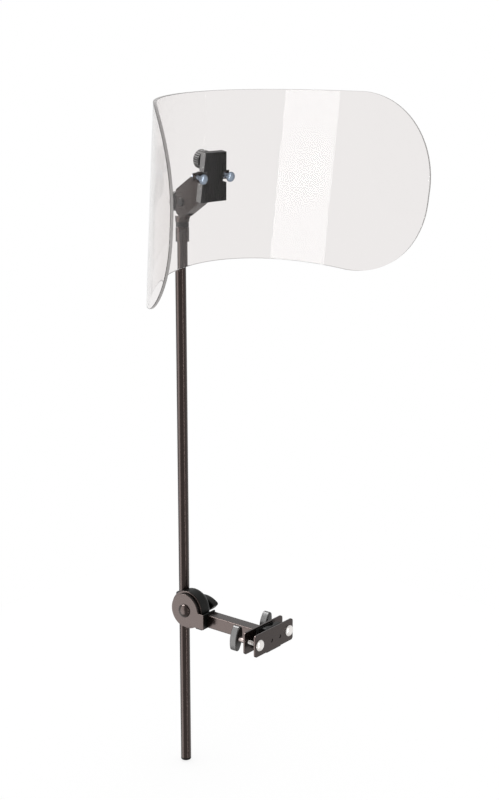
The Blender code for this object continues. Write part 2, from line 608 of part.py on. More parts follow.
# Swivel clamp
def clamp_stack():
    centre = (PIVOT_Y, PIVOT_Z)
    place = (0, PIVOT_Y, PIVOT_Z)
    bolt_hole = JOINT_BOLT / 2 + RUN
    tab_high = asin(EAR_TAB_TOP / EAR_RADIUS)
    tab_low = asin(-EAR_TAB_BOTTOM / EAR_RADIUS)
    ear_shape = arc((0, 0), EAR_RADIUS, -pi + tab_low, pi - tab_high - EAR_FILLET / EAR_RADIUS, 44)
    inset = (1 - sqrt(0.5)) * EAR_FILLET
    ear_shape += [(-EAR_RADIUS - inset, EAR_TAB_TOP + inset), (-EAR_RADIUS - EAR_FILLET, EAR_TAB_TOP),
                  (-EAR_REACH + EAR_CORNER, EAR_TAB_TOP), (-EAR_REACH, EAR_TAB_TOP - EAR_CORNER),
                  (-EAR_REACH, EAR_TAB_BOTTOM + EAR_CORNER), (-EAR_REACH + EAR_CORNER, EAR_TAB_BOTTOM)]
    ear = outline("ear_plate", ear_shape, EAR_SHEET, "X", EAR_START, place=place)
    ear.data.materials.append(COATED_STEEL)
    cut(ear, rod_mesh("X", EAR_START - EAR_SHEET, EAR_END + EAR_SHEET, bolt_hole, sides=24))
    shade(ear)
    for name, start, thickness, radius, finish in (
            ("friction_disc", FRICTION_START, FRICTION_THICKNESS, FRICTION_RADIUS, NYLON),
            ("pressure_disc", PRESSURE_START, PRESSURE_THICKNESS, PRESSURE_RADIUS, COATED_STEEL)):
        disc = link(rod_mesh("X", start, start + thickness, radius, sides=48), name, finish, place=place)
        cut(disc, rod_mesh("X", start - thickness, start + 2 * thickness, bolt_hole, sides=24))
        shade(disc)

    crown = arc((0, 0), 1, 0, pi / 2, 5)
    steps = [(CLAMP_SHOULDER + (CLAMP_RADIUS - CLAMP_SHOULDER) * across, CLAMP_END - CLAMP_CROWN * (1 - up))
             for across, up in reversed(crown)]
    profile = [(0, CLAMP_END)] + steps + [(CLAMP_RADIUS, CLAMP_START), (0, CLAMP_START)]
    body = turned("clamp_body", profile, "X", 48, place=place)
    body.data.materials.append(BLACK_PLASTIC)
    rod_at = (ROD_X, ROD_Y - PIVOT_Y)
    boss_radius = BUSH_BORE + BOSS_WALL
    boss = rod_mesh("Z", -BOSS_HEIGHT / 2, BOSS_HEIGHT / 2, boss_radius, rod_at, 32)
    join(body, boss)
    cut(body, box_mesh((CLAMP_START - 2 * boss_radius, -2 * CLAMP_RADIUS, -2 * CLAMP_RADIUS),
                       (CLAMP_START, 2 * CLAMP_RADIUS, 2 * CLAMP_RADIUS)))
    cut(body, rod_mesh("Z", -2 * CLAMP_RADIUS, 2 * CLAMP_RADIUS, BUSH_BORE, rod_at, 32))
    cut(body, rod_mesh("X", CLAMP_START - CLAMP_WIDTH, CLAMP_END + CLAMP_WIDTH, bolt_hole, sides=24))
    shade(body)

    washer_end = WASHER_START + KNOB_WASHER_THICKNESS
    washer = link(rod_mesh("X", WASHER_START, washer_end, KNOB_WASHER / 2, sides=32), "joint_knob_washer",
                  BRIGHT_ZINC, place=place)
    cut(washer, rod_mesh("X", CLAMP_END, JOINT_KNOB_START + JOINT_KNOB_DEPTH, bolt_hole, sides=24))
    shade(washer)

    start = JOINT_KNOB_START
    insert_end = start + INSERT_LENGTH
    insert = link(rod_mesh("X", start, insert_end, INSERT_RADIUS, sides=6), "joint_knob_insert", BRASS,
                  place=place)
    cut(insert, rod_mesh("X", CLAMP_END, insert_end + INSERT_LENGTH, bolt_hole, sides=24))
    shade(insert)
    shape = wing(JOINT_KNOB_LENGTH, JOINT_KNOB_WIDTH, JOINT_KNOB_TIP, JOINT_KNOB_LEAN)
    knob = outline("joint_knob", shape, JOINT_KNOB_DEPTH, "X", start, place=place)
    knob.data.materials.append(BLACK_PLASTIC)
    soften(knob, JOINT_KNOB_EDGE, 2)
    cut(knob, rod_mesh("X", CLAMP_END, insert_end + GAP, INSERT_RADIUS + GAP, sides=6))
    cut(knob, rod_mesh("X", start, start + JOINT_KNOB_BORE, bolt_hole, sides=24))
    shade(knob)

    shank = start + JOINT_KNOB_DEPTH - JOINT_BOLT_END - EAR_START
    bolt = carriage_bolt("joint_bolt", JOINT_BOLT_HEAD, JOINT_BOLT_DOME, JOINT_BOLT, shank)
    mesh = take_mesh(bolt, Matrix.Rotation(-pi / 2, 4, "Y"), Matrix.Translation((EAR_START - GAP, 0, 0)))
    shade(link(mesh, "joint_bolt", COATED_STEEL, place=place))


# Rod
def rod_group():
    place = (ROD_X, ROD_Y, 0)
    bush_low, bush_top = PIVOT_Z - BOSS_HEIGHT / 2, PIVOT_Z + BOSS_HEIGHT / 2
    bush = link(rod_mesh("Z", bush_low, bush_top, BUSH_OUTER, sides=32), "rod_bush", NYLON, place=place)
    cut(bush, rod_mesh("Z", bush_low - ROD, bush_top + ROD, BUSH_INNER, sides=32))
    shade(bush)

    plug_top = ROD_LOW + PLUG_HEAD
    tube_low = plug_top + GAP
    tube = link(rod_mesh("Z", tube_low, ROD_TOP, ROD_RADIUS, sides=32), "rod_tube", COATED_STEEL,
                place=place)
    inner = ROD_RADIUS - ROD_WALL
    cut(tube, rod_mesh("Z", tube_low - ROD, ROD_TOP + ROD, inner, sides=32))
    shade(tube)
    fit = inner - GAP
    profile = [(0, plug_top + PLUG_SPIGOT), (fit, plug_top + PLUG_SPIGOT), (fit, plug_top),
               (ROD_RADIUS, plug_top), (ROD_RADIUS, ROD_LOW + PLUG_EDGE), (ROD_RADIUS - PLUG_EDGE, ROD_LOW),
               (0, ROD_LOW)]
    plug = turned("rod_end_plug", profile, place=place)
    plug.data.materials.append(BLACK_PLASTIC)
    shade(plug)

    bore = ROD_RADIUS + GAP
    bands = (("rod_sleeve", SLEEVE_LOW, SLEEVE_HEIGHT, SLEEVE / 2, COATED_STEEL),
             ("socket_ring", RING_LOW, RING_HEIGHT, RING / 2, BLACK_PLASTIC))
    for name, low, height, radius, finish in bands:
        top = low + height
        profile = [(bore, top), (radius - BAND_EDGE, top), (radius, top - BAND_EDGE),
                   (radius, low + BAND_EDGE), (radius - BAND_EDGE, low), (bore, low), (bore, top)]
        band = turned(name, profile, place=place)
        band.data.materials.append(finish)
        shade(band)

    roof = ROD_TOP + GAP
    profile = [(0, SOCKET_SHOULDER), (SOCKET_TOP_RADIUS, SOCKET_SHOULDER), (SOCKET_LOW_RADIUS, SOCKET_LOW),
               (bore, SOCKET_LOW), (bore, roof), (0, roof)]
    socket = turned("head_socket", profile, parent=HEAD_FRAME)
    socket.data.materials.append(COATED_STEEL)
    cut(socket, rod_mesh("X", -SLEEVE, SLEEVE, NECK_HEEL + 2 * RUN, (TILT_Y, TILT_Z), 72))
    tongue = arc((TILT_Y, TILT_Z), TONGUE_RADIUS, 0, 2 * pi, 41)[:-1]
    post = outline("tongue", tongue, TONGUE_THICKNESS, "X", -TONGUE_THICKNESS / 2)
    foot = roof + SOCKET_ROOF
    join(post, box_mesh((-TONGUE_THICKNESS / 2, TILT_Y + TONGUE_STEM_FRONT, foot),
                        (TONGUE_THICKNESS / 2, TILT_Y + TONGUE_STEM_REAR, TILT_Z)))
    join(socket, take_mesh(post))
    cut(socket, rod_mesh("X", -SLEEVE, SLEEVE, PIN / 2 + RUN, (TILT_Y, TILT_Z), 24))
    shade(socket)


# Neck: a folded channel with a plate at its front end
def stack_point(back, up):
    """A point of the sheet's stack, in the head's upright frame."""
    return (STACK_Y + back * cos(STACK_TILT) - up * sin(STACK_TILT),
            STACK_Z + back * sin(STACK_TILT) + up * cos(STACK_TILT))


def neck():
    local = (-TILT_Y, -TILT_Z)
    weld = FLANGE_BACK - 0.5 * NECK_SHEET
    top_at = (NECK_TOP_Z - STACK_Z - weld * sin(STACK_TILT)) / cos(STACK_TILT)
    front_top = stack_point(weld, top_at)
    front_low = stack_point(weld, FLANGE_LOW + NECK_EDGE_LIFT)
    heel_start = atan2(NECK_SOLE_Z - TILT_Z, NECK_SOLE_Y - TILT_Y)
    reach = hypot(NECK_SOLE_Z - TILT_Z, NECK_SOLE_Y - TILT_Y)
    tangent = heel_start + acos(NECK_HEEL / reach)
    rear_angle = -acos((NECK_REAR - TILT_Y) / NECK_HEEL)
    if tangent > 0:
        tangent -= 2 * pi
    heel = arc((TILT_Y, TILT_Z), NECK_HEEL, rear_angle, tangent, 12)
    side = [(NECK_REAR, NECK_REAR_TOP)] + heel
    side += [(NECK_SOLE_Y, NECK_SOLE_Z), front_low, front_top, (NECK_TOP_Y, NECK_TOP_Z),
             (NECK_RISE_Y, NECK_RISE_Z)]
    side = [(across + local[0], up + local[1]) for across, up in side]
    bracket = outline("neck_bracket", side, NECK_WIDTH, "X", -NECK_WIDTH / 2, parent=TILT_FRAME)
    bracket.data.materials.append(COATED_STEEL)

    inner = NECK_WIDTH / 2 - NECK_SHEET
    sole = atan2(NECK_SOLE_Z - heel[-1][1], NECK_SOLE_Y - heel[-1][0])
    lift = NECK_SHEET / abs(cos(sole))
    rear_stop = BRIDGE_FRONT + local[0]
    front_stop = stack_point(FLANGE_FRONT + 0.5 * NECK_SHEET, 0)[0] + local[0]
    web_end = heel[-1][0] - NECK_WEB_START + local[0]
    bridge_low, bridge_high = BRIDGE_LOW + local[1], BRIDGE_LOW + BRIDGE_HEIGHT + local[1]
    far = 3 * NECK_HEEL
    web_rise = (NECK_SOLE_Z - heel[-1][1]) / (NECK_SOLE_Y - heel[-1][0])
    web_at = heel[-1][1] - web_rise * NECK_WEB_START
    web_high = [(web_end, web_at + local[1] + lift), (NECK_SOLE_Y + local[0], NECK_SOLE_Z + local[1] + lift)]
    front_inner = [(across + local[0] + NECK_SHEET, up + local[1]) for across, up in (front_low, front_top)]
    hollow = [(rear_stop, far), (rear_stop, -far), (web_end, -far)] + web_high
    hollow += [(front_inner[0][0], front_inner[0][1] + lift), (front_inner[1][0], front_inner[1][1]),
               (front_inner[1][0], far)]
    cut(bracket, take_mesh(outline("hollow", hollow, 2 * inner, "X", -inner)))
    for low, high in ((-far, bridge_low), (bridge_high, far)):
        cut(bracket, box_mesh((-inner, rear_stop - MM, low), (inner, rear_stop + 3 * NECK_SHEET, high)))

    plate_mesh = box_mesh((-FLANGE_WIDTH / 2, FLANGE_FRONT, FLANGE_LOW),
                          (FLANGE_WIDTH / 2, FLANGE_BACK, FLANGE_HIGH))
    plate = link(plate_mesh, "plate", None, STACK_FRAME)
    to_bracket = TILT_FRAME.matrix_world.inverted() @ STACK_FRAME.matrix_world
    join(bracket, take_mesh(plate, to_bracket))
    hole = SCREW_HOLE / 2
    knurl_hole = rod_mesh("Y", FLANGE_FRONT - BLOCK_DEPTH, FLANGE_BACK + BLOCK_DEPTH, hole,
                          (0, KNURL_RISE), 24)
    knurl_hole.transform(to_bracket)
    lock_hole = rod_mesh("Y", rear_stop - MM, rear_stop + 3 * NECK_SHEET, hole, (0, LOCK_Z + local[1]), 24)
    pin_hole = rod_mesh("X", -NECK_WIDTH, NECK_WIDTH, PIN / 2 + GAP, sides=24)
    cut(bracket, knurl_hole, lock_hole, pin_hole)
    shade(bracket)

    half = NECK_WIDTH / 2 + GAP
    head = PIN_HEAD / 2
    crown = half + PIN_HEAD_HEIGHT
    upper = [(0, crown), (head - PIN_EDGE, crown), (head, crown - PIN_EDGE), (head, half), (PIN / 2, half)]
    profile = upper + [(radius, -up) for radius, up in reversed(upper)]
    pin = turned("pivot_pin", profile, "X", 28, parent=TILT_FRAME)
    pin.data.materials.append(BLACK_PLASTIC)
    shade(pin)


# Sheet and the block that carries it
def half_height(along):
    """Half the sheet's height at a distance along the bend: flared edges, then elliptical corners."""
    straight = SHEET_LENGTH / 2 - SHEET_CORNER
    rise = min(SHEET_CORNER, SHEET_HEIGHT / 2 - SHEET_THICKNESS)
    flare = 1 + SHEET_FLARE * (min(abs(along), straight) / FLARE_AT) ** 2 * 2 / SHEET_HEIGHT
    past = max(0.0, abs(along) - straight) / SHEET_CORNER
    return (SHEET_HEIGHT / 2 - rise + rise * sqrt(max(0.0, 1 - past ** 2))) * flare


def bend(along):
    """Where the sheet's hollow face lies: curvature falls off with the square of the distance."""
    steps = max(2, ceil(abs(along) / (4 * MM)))
    path = np.linspace(0, along, steps)
    turn = path / SHEET_RADIUS - SHEET_EASE * path ** 3 / (3 * EASE_AT ** 2 * SHEET_RADIUS)
    middle = (turn[1:] + turn[:-1]) / 2
    stride = np.diff(path)
    return float(np.sum(np.cos(middle) * stride)), -float(np.sum(np.sin(middle) * stride))


def columns():
    """Distances along the bend, closer together where the corners round off."""
    straight = SHEET_LENGTH / 2 - SHEET_CORNER
    flat = np.linspace(0, straight, SHEET_COLUMNS // 4 + 1)
    angles = np.linspace(0, pi / 2, SHEET_COLUMNS // 4 + 1)[1:]
    half = np.concatenate([flat, straight + SHEET_CORNER * np.sin(angles)])
    return np.concatenate([-half[:0:-1], half])


def head():
    drop = -KNURL_RISE
    panel_at = columns()
    made = bmesh.new()
    bmesh.ops.create_grid(made, x_segments=len(panel_at) - 1, y_segments=1, size=0.5)
    for vert in made.verts:
        along = panel_at[round((vert.co.x + 0.5) * (len(panel_at) - 1))]
        across, depth = bend(along)
        up = half_height(along) if vert.co.y > 0 else -half_height(along)
        vert.co = (across, depth, up + drop)
    mesh = bpy.data.meshes.new("shield_panel")
    made.to_mesh(mesh)
    made.free()
    panel = link(mesh, "shield_panel", None, ROLL_FRAME)
    wall = panel.modifiers.new("wall", "SOLIDIFY")
    wall.thickness = SHEET_THICKNESS
    wall.offset = -1.0
    panel = as_mesh(panel)
    panel.data.materials.append(CLEAR_SHEET)

    block_low = BOLT_RISE - BLOCK_HEIGHT / 2 + drop
    block_high = BOLT_RISE + BLOCK_HEIGHT / 2 + drop
    shape = [(-BLOCK_BOTTOM / 2, block_low), (BLOCK_BOTTOM / 2, block_low), (BLOCK_TOP / 2, block_high),
             (-BLOCK_TOP / 2, block_high)]
    block = outline("head_block", shape, BLOCK_DEPTH, "Y", BLOCK_FRONT, parent=ROLL_FRAME)
    block.data.materials.append(BLACK_PLASTIC)
    soften(block, BLOCK_EDGE, 2)
    bolt_up = BOLT_RISE + drop
    middle_half = (BLOCK_TOP + BLOCK_BOTTOM) / 4
    for side in (-1, 1):
        near, far = side * (middle_half - NOTCH_DEPTH), side * BLOCK_BOTTOM
        cut(block, box_mesh((min(near, far), 0, bolt_up - NOTCH_HEIGHT / 2),
                            (max(near, far), 2 * BLOCK_BACK, bolt_up + NOTCH_HEIGHT / 2)))
    cut(block, box_mesh((-BLOCK_BOTTOM, BAR_FRONT - GAP, bolt_up - BAR_HEIGHT / 2 - GAP),
                        (BLOCK_BOTTOM, 2 * BLOCK_BACK, bolt_up + BAR_HEIGHT / 2 + GAP)))
    cut(block, rod_mesh("Y", BLOCK_BACK - SCREW_SEAT, BLOCK_BACK + SCREW_SEAT, SCREW_HOLE / 2, sides=24))
    shade(block)

    bar_half = BOLT_PITCH / 2 + BAR_END
    bar_mesh = box_mesh((-bar_half, BAR_FRONT, bolt_up - BAR_HEIGHT / 2),
                        (bar_half, BLOCK_BACK, bolt_up + BAR_HEIGHT / 2))
    bar = link(bar_mesh, "cross_bar", COATED_STEEL, ROLL_FRAME)
    for side_name, side in SIDES:
        at = side * BOLT_PITCH / 2
        cut(panel, rod_mesh("Y", -SHEET_LENGTH / 8, SHEET_LENGTH / 8, BOLT_HOLE / 2, (at, bolt_up), 24))
        cut(bar, rod_mesh("Y", 0, 2 * BLOCK_BACK, BOLT_HOLE / 2, (at, bolt_up), 24))
        seat = bend(abs(at) + BOLT_HEAD / 2)[1] - GAP
        length = NUT_FRONT + NUT_HEIGHT + BOLT_TAIL - seat
        bolt = carriage_bolt("bolt", BOLT_HEAD, BOLT_DOME, BOLT, length, 24)
        mesh = take_mesh(bolt, Matrix.Rotation(pi / 2, 4, "X"))
        shade(link(mesh, "sheet_bolt_" + side_name, BLUE_ZINC, ROLL_FRAME, (at, seat, bolt_up)))
        nut = link(rod_mesh("Y", NUT_FRONT, NUT_FRONT + NUT_HEIGHT, NUT_ACROSS / sqrt(3), sides=6),
                   "sheet_nut_" + side_name, BLUE_ZINC, ROLL_FRAME, (at, 0, bolt_up))
        cut(nut, rod_mesh("Y", 0, 2 * NUT_FRONT, BOLT / 2 + GAP, sides=20))
        shade(nut)
    shade(panel, 25)
    shade(bar)


# Turned knobs with a screw fixed in them, drawn along +Y from their seat
def round_knob(name, radius, depth, neck, neck_radius, grooves, start, up, parent):
    edge = KNURL_EDGE
    disc = start + neck
    end = disc + depth
    profile = [(0, end), (radius - edge, end), (radius, end - edge), (radius, disc + edge),
               (radius - edge, disc), (neck_radius, disc), (neck_radius, start), (0, start)]
    knob = turned(name, profile, "Y", 2 * grooves, parent=parent, place=(0, 0, up))
    for vert in knob.data.vertices:
        around = atan2(vert.co.z, vert.co.x) / (2 * pi) * grooves
        if hypot(vert.co.x, vert.co.z) > radius - edge / 2 and round(around * 2) % 2:
            shrink = 1 - KNURL_CUT / radius
            vert.co = (vert.co.x * shrink, vert.co.y, vert.co.z * shrink)
    knob.data.materials.append(BLACK_PLASTIC)
    return knob


def small_washer(name, start, up, parent):
    disc = rod_mesh("Y", start, start + SMALL_WASHER_THICKNESS, SMALL_WASHER / 2, sides=28)
    washer = link(disc, name, BRIGHT_ZINC, parent, (0, 0, up))
    cut(washer, rod_mesh("Y", start - SMALL_WASHER, start + SMALL_WASHER, SCREW_HOLE / 2, sides=24))
    return shade(washer)


def head_knobs():
    small_washer("knurled_knob_washer", KNURL_WASHER_FRONT, 0, ROLL_FRAME)
    knob = round_knob("knurled_knob", KNURL_RADIUS, KNURL_DEPTH, KNURL_NECK, KNURL_NECK_RADIUS, KNURL_COUNT,
                      KNURL_FRONT, 0, ROLL_FRAME)
    screw_tip = BLOCK_BACK - SCREW_SEAT + 2 * GAP
    screw_root = KNURL_FRONT + KNURL_NECK + KNURL_DEPTH / 2
    fixed_screw(knob, "knurled_knob_screw", screw_tip, screw_root, 0, ROLL_FRAME)

    up = LOCK_Z - TILT_Z
    small_washer("tilt_lock_washer", LOCK_WASHER_START - TILT_Y, up, TILT_FRAME)
    start = LOCK_START - TILT_Y
    knob = round_knob("tilt_lock_knob", LOCK_RADIUS, LOCK_DEPTH, LOCK_NECK, KNURL_NECK_RADIUS, KNURL_COUNT,
                      start, up, TILT_FRAME)
    screw_tip = TONGUE_RADIUS + GAP
    fixed_screw(knob, "tilt_lock_screw", screw_tip, start + LOCK_NECK + LOCK_DEPTH / 2, up, TILT_FRAME)


def fixed_screw(knob, name, tip, root, up, parent):
    """The screw that is moulded into a knob, and the hole that it fills there."""
    cut(knob, rod_mesh("Y", tip, root + GAP, SCREW / 2 + GAP, sides=24))
    shade(knob)
    screw = link(rod_mesh("Y", tip, root, SCREW / 2, sides=24), name, BRIGHT_ZINC, parent, (0, 0, up))
    shade(screw)


jaws()
for name, side, lean in (("left", -1, LEFT_KNOB_LEAN), ("right", 1, RIGHT_KNOB_LEAN)):
    jaw_knob(name, side, lean)
arm()
clamp_stack()
rod_group()
neck()
head()
head_knobs()

total = 0
for piece in PARTS.objects:
    if piece.type == "MESH":
        triangles = sum(len(face.vertices) - 2 for face in piece.data.polygons)
        total += triangles
        print(piece.name, len(piece.data.materials), triangles)
print("triangles in all:", total)
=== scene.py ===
# %% [markdown]
# # A clear acoustic shield on a clamp-on rod
#
# The object is a bent sheet of clear plastic that stands behind a musician's head. A jointed arm with a
# screw clamp holds its rod to a music stand or a chair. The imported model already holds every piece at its
# real size, so this notebook only gives the pieces their fine shape and their finish. Neighbours keep the
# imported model's gap of 0.3 mm.

import json

import bmesh
import bpy
import numpy as np
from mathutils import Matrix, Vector


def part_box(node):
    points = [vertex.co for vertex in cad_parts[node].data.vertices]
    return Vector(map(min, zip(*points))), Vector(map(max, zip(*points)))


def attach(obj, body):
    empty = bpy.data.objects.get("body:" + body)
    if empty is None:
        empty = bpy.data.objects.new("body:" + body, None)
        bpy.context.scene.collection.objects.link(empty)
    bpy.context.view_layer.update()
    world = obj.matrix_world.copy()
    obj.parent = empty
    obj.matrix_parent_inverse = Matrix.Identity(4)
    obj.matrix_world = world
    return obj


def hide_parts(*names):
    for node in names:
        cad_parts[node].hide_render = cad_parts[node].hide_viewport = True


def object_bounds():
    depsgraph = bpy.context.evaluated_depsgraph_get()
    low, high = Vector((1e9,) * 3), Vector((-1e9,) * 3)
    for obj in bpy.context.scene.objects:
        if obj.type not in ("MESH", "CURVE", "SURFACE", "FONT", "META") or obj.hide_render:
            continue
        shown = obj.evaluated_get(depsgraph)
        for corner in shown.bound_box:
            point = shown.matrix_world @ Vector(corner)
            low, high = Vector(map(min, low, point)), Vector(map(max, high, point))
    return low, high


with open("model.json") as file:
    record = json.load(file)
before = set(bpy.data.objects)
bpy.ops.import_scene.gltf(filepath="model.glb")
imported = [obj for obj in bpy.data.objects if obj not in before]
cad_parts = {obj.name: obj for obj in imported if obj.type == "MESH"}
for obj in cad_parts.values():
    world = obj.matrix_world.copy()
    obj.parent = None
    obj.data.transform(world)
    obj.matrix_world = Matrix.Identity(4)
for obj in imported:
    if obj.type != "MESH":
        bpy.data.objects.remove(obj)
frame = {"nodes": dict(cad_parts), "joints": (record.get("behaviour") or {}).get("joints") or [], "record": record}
cad_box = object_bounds()
joints = {joint["name"]: joint for joint in frame["joints"]}
bodies = frame["record"]["behaviour"]["bodies"]
body_of_node = {node: body for body, nodes in bodies.items() for node in nodes}
MM = 0.001
GAP = 0.3 * MM

# %% [markdown]
# ## Where the camera stood
#
# The photograph was taken from the front left, a little above the sheet, with a short telephoto lens. The
# place comes from fitting the rod, the arm, the jaws and the sheet to their outlines. Blender's sensor width
# belongs to the picture's long side, so the lens is the focal length in pixels times 36 over 800.

# %% Camera
CAMERA_PLACE = Vector((-1.2312, -0.9441, 0.6435))
CAMERA_LOOK = Vector((0.77088, 0.60946, -0.1852))
FOCAL_PIXELS = 1119.2
PICTURE_HEIGHT = 800

camera = bpy.data.objects.new("camera", bpy.data.cameras.new("camera"))
bpy.context.scene.collection.objects.link(camera)
camera.data.sensor_width = 36
camera.data.lens = FOCAL_PIXELS * camera.data.sensor_width / PICTURE_HEIGHT
camera.data.clip_start = 0.05
camera.location = CAMERA_PLACE
camera.rotation_euler = CAMERA_LOOK.to_track_quat("-Z", "Y").to_euler()
bpy.context.scene.camera = camera
print("lens:", round(camera.data.lens, 2), "mm")

# %% [markdown]
# ## Frames that the head is drawn in
#
# The neck and everything in front of it lean and turn with their joints, so drawing them in world
# coordinates would be hard to follow. Each joint already says where its axis is. Two matrices made from the
# joints let the pieces be drawn upright and be carried to their place at the end, in the mesh itself.

# %% Frames
SHEET_ROLL = np.radians(-5.0)


def basis(origin, across, back):
    """A matrix whose X, Y and Z are the unit vectors across, back and across x back, at the origin."""
    across, back = np.array(across, float), np.array(back, float)
    matrix = np.eye(4)
    matrix[:3, 0], matrix[:3, 1], matrix[:3, 2] = across, back, np.cross(across, back)
    matrix[:3, 3] = origin
    return matrix


def turn_about_y(angle):
    """Rotation about Y as a 4 x 4 matrix."""
    matrix = np.eye(4)
    matrix[0, 0] = matrix[2, 2] = np.cos(angle)
    matrix[0, 2], matrix[2, 0] = np.sin(angle), -np.sin(angle)
    return matrix


tilt_joint, roll_joint, lock_joint = joints["shield_tilt"], joints["shield_roll"], joints["tilt_lock_turn"]
TILT = basis(tilt_joint["pos_m"], tilt_joint["axis"], lock_joint["axis"])
STACK = basis(roll_joint["pos_m"], tilt_joint["axis"], roll_joint["axis"])
ROLL = STACK @ turn_about_y(SHEET_ROLL)
WORLD = np.eye(4)
print("tilt pivot:", np.round(TILT[:3, 3], 4), "roll axis:", np.round(ROLL[:3, 1], 3))

# %% [markdown]
# ## Shapes as arrays
#
# Every new piece is a surface of two parameters. Its points are one numpy array of rows and columns, and
# the faces are the quads between neighbours. Lathe work, extrusions and knobs then differ only in the
# formula for the points. Welding the coincident points afterwards closes the seams and the poles.


# %% Grid to mesh
def quads(rows, columns, wrap_rows=False, wrap_columns=False):
    """Index quads between neighbouring points of a rows x columns grid, wrapped where it closes."""
    row = np.arange(rows if wrap_rows else rows - 1)
    column = np.arange(columns if wrap_columns else columns - 1)
    row, column = np.meshgrid(row, column, indexing="ij")
    below, beside = (row + 1) % rows, (column + 1) % columns
    corners = [(row, column), (row, beside), (below, beside), (below, column)]
    return np.stack([first * columns + second for first, second in corners], -1).reshape(-1, 4)


def skin(grid, wrap_rows=False, wrap_columns=False):
    """Points and faces of a grid of shape (rows, columns, 3)."""
    rows, columns = grid.shape[:2]
    return grid.reshape(-1, 3), quads(rows, columns, wrap_rows, wrap_columns).tolist()


def cap(ring):
    """One flat face over a ring of points."""
    return ring, [list(range(len(ring)))]


def solid(name, skins, place=WORLD):
    """Joins skins into one welded mesh whose faces point out, and carries it to its place."""
    points, faces, start = [], [], 0
    for skin_points, skin_faces in skins:
        points.append(skin_points)
        faces += [[index + start for index in face] for face in skin_faces]
        start += len(skin_points)
    points = np.concatenate(points) @ place[:3, :3].T + place[:3, 3]
    mesh = bpy.data.meshes.new(name)
    mesh.from_pydata(points.tolist(), [], faces)
    weld(mesh)
    made = bpy.data.objects.new(name, mesh)
    bpy.context.scene.collection.objects.link(made)
    return made


def weld(mesh, distance=2e-6):
    """Merges coincident points, drops faces that shrank to nothing and turns the rest outwards."""
    shape = bmesh.new()
    shape.from_mesh(mesh)
    bmesh.ops.remove_doubles(shape, verts=shape.verts, dist=distance)
    bmesh.ops.dissolve_degenerate(shape, edges=shape.edges, dist=distance / 2)
    bmesh.ops.recalc_face_normals(shape, faces=shape.faces)
    shape.to_mesh(mesh)
    shape.free()


print("a 3 x 4 ring has", len(quads(3, 4, wrap_columns=True)), "faces")

# %% [markdown]
# ## Outlines and lathe profiles
#
# A turned piece is a profile of (radius, height) points carried round an axis. A pressed or moulded plate is
# an outline whose rim follows a small quarter round. No real edge is perfectly sharp, and the thin light
# line along a rounded edge is what makes metal and plastic look solid.


# %% Profiles
def rounded(corners, cut, steps=5, closed=True):
    """Replaces each corner of a polyline by a curve that touches both sides a distance cut away.

    The curve is the quadratic (1-t)^2 A + 2t(1-t) C + t^2 B, with A and B on the sides and C the corner.
    """
    corners = np.asarray(corners, float)
    before = np.roll(corners, 1, axis=0) - corners
    after = np.roll(corners, -1, axis=0) - corners
    long_before = np.linalg.norm(before, axis=1, keepdims=True)
    long_after = np.linalg.norm(after, axis=1, keepdims=True)
    cut = np.broadcast_to(np.asarray(cut, float), (len(corners),))[:, None]
    cut = np.minimum(cut, 0.48 * np.minimum(long_before, long_after))
    first, last = corners + before / long_before * cut, corners + after / long_after * cut
    t = np.linspace(0, 1, steps)[None, :, None]
    curve = (1 - t) ** 2 * first[:, None] + 2 * t * (1 - t) * corners[:, None] + t ** 2 * last[:, None]
    if closed:
        return curve.reshape(-1, 2)
    return np.concatenate([corners[:1], curve[1:-1].reshape(-1, 2), corners[-1:]])


def arc(radius, start, end, count, centre=(0, 0)):
    """Points on a circle between two angles in radians."""
    angle = np.linspace(start, end, count)
    return np.stack([centre[0] + radius * np.cos(angle), centre[1] + radius * np.sin(angle)], -1)


AXES = {"X": (1, 2, 0), "Y": (2, 0, 1), "Z": (0, 1, 2)}


def lay(points, axis, centre=(0, 0, 0)):
    """Turns points drawn along Z so that they run along X, Y or Z through a centre."""
    first, second, along = AXES[axis]
    out = np.empty_like(points)
    out[..., first], out[..., second], out[..., along] = points[..., 0], points[..., 1], points[..., 2]
    return out + np.asarray(centre, float)


def lathe(profile, axis="Z", centre=(0, 0, 0), steps=96, closed=False):
    """(r, h) carried round an axis: x = r cos a, y = r sin a, z = h for every angle a."""
    angle = np.linspace(0, 2 * np.pi, steps, endpoint=False)
    radius, height = np.asarray(profile, float)[:, :1], np.asarray(profile, float)[:, 1:]
    grid = np.stack([radius * np.cos(angle), radius * np.sin(angle), height + 0 * angle], -1)
    return skin(lay(grid, axis, centre), wrap_rows=closed, wrap_columns=True)


def ring_profile(outer, inner, low, high, edge):
    """The section of a tube or washer, with its four corners rounded."""
    return rounded([(outer, low), (outer, high), (inner, high), (inner, low)], edge)


def inset(outline, distance):
    """Moves each point of a closed outline inwards along the mean normal of its two sides."""
    ahead = np.roll(outline, -1, axis=0) - outline
    behind = outline - np.roll(outline, 1, axis=0)
    ahead /= np.linalg.norm(ahead, axis=1, keepdims=True)
    behind /= np.linalg.norm(behind, axis=1, keepdims=True)
    tangent = ahead + behind
    length = np.linalg.norm(tangent, axis=1, keepdims=True)
    normal = np.stack([-tangent[:, 1], tangent[:, 0]], -1) / length
    return outline + normal * distance * 2 / length


def slab(outline, low, high, edge, axis="Z", centre=(0, 0, 0), steps=4):
    """An anticlockwise outline with thickness, whose two rims follow a quarter round of radius edge."""
    quarter = np.linspace(0, np.pi / 2, steps)
    in_low, up_low = edge * (1 - np.sin(quarter)), low + edge * (1 - np.cos(quarter))
    in_high, up_high = in_low[::-1], low + high - up_low[::-1]
    rings = [np.column_stack([inset(outline, away), np.full(len(outline), up)])
             for away, up in zip(np.concatenate([in_low, in_high]), np.concatenate([up_low, up_high]))]
    grid = lay(np.array(rings), axis, centre)
    return [skin(grid, wrap_columns=True), cap(grid[0]), cap(grid[-1])]


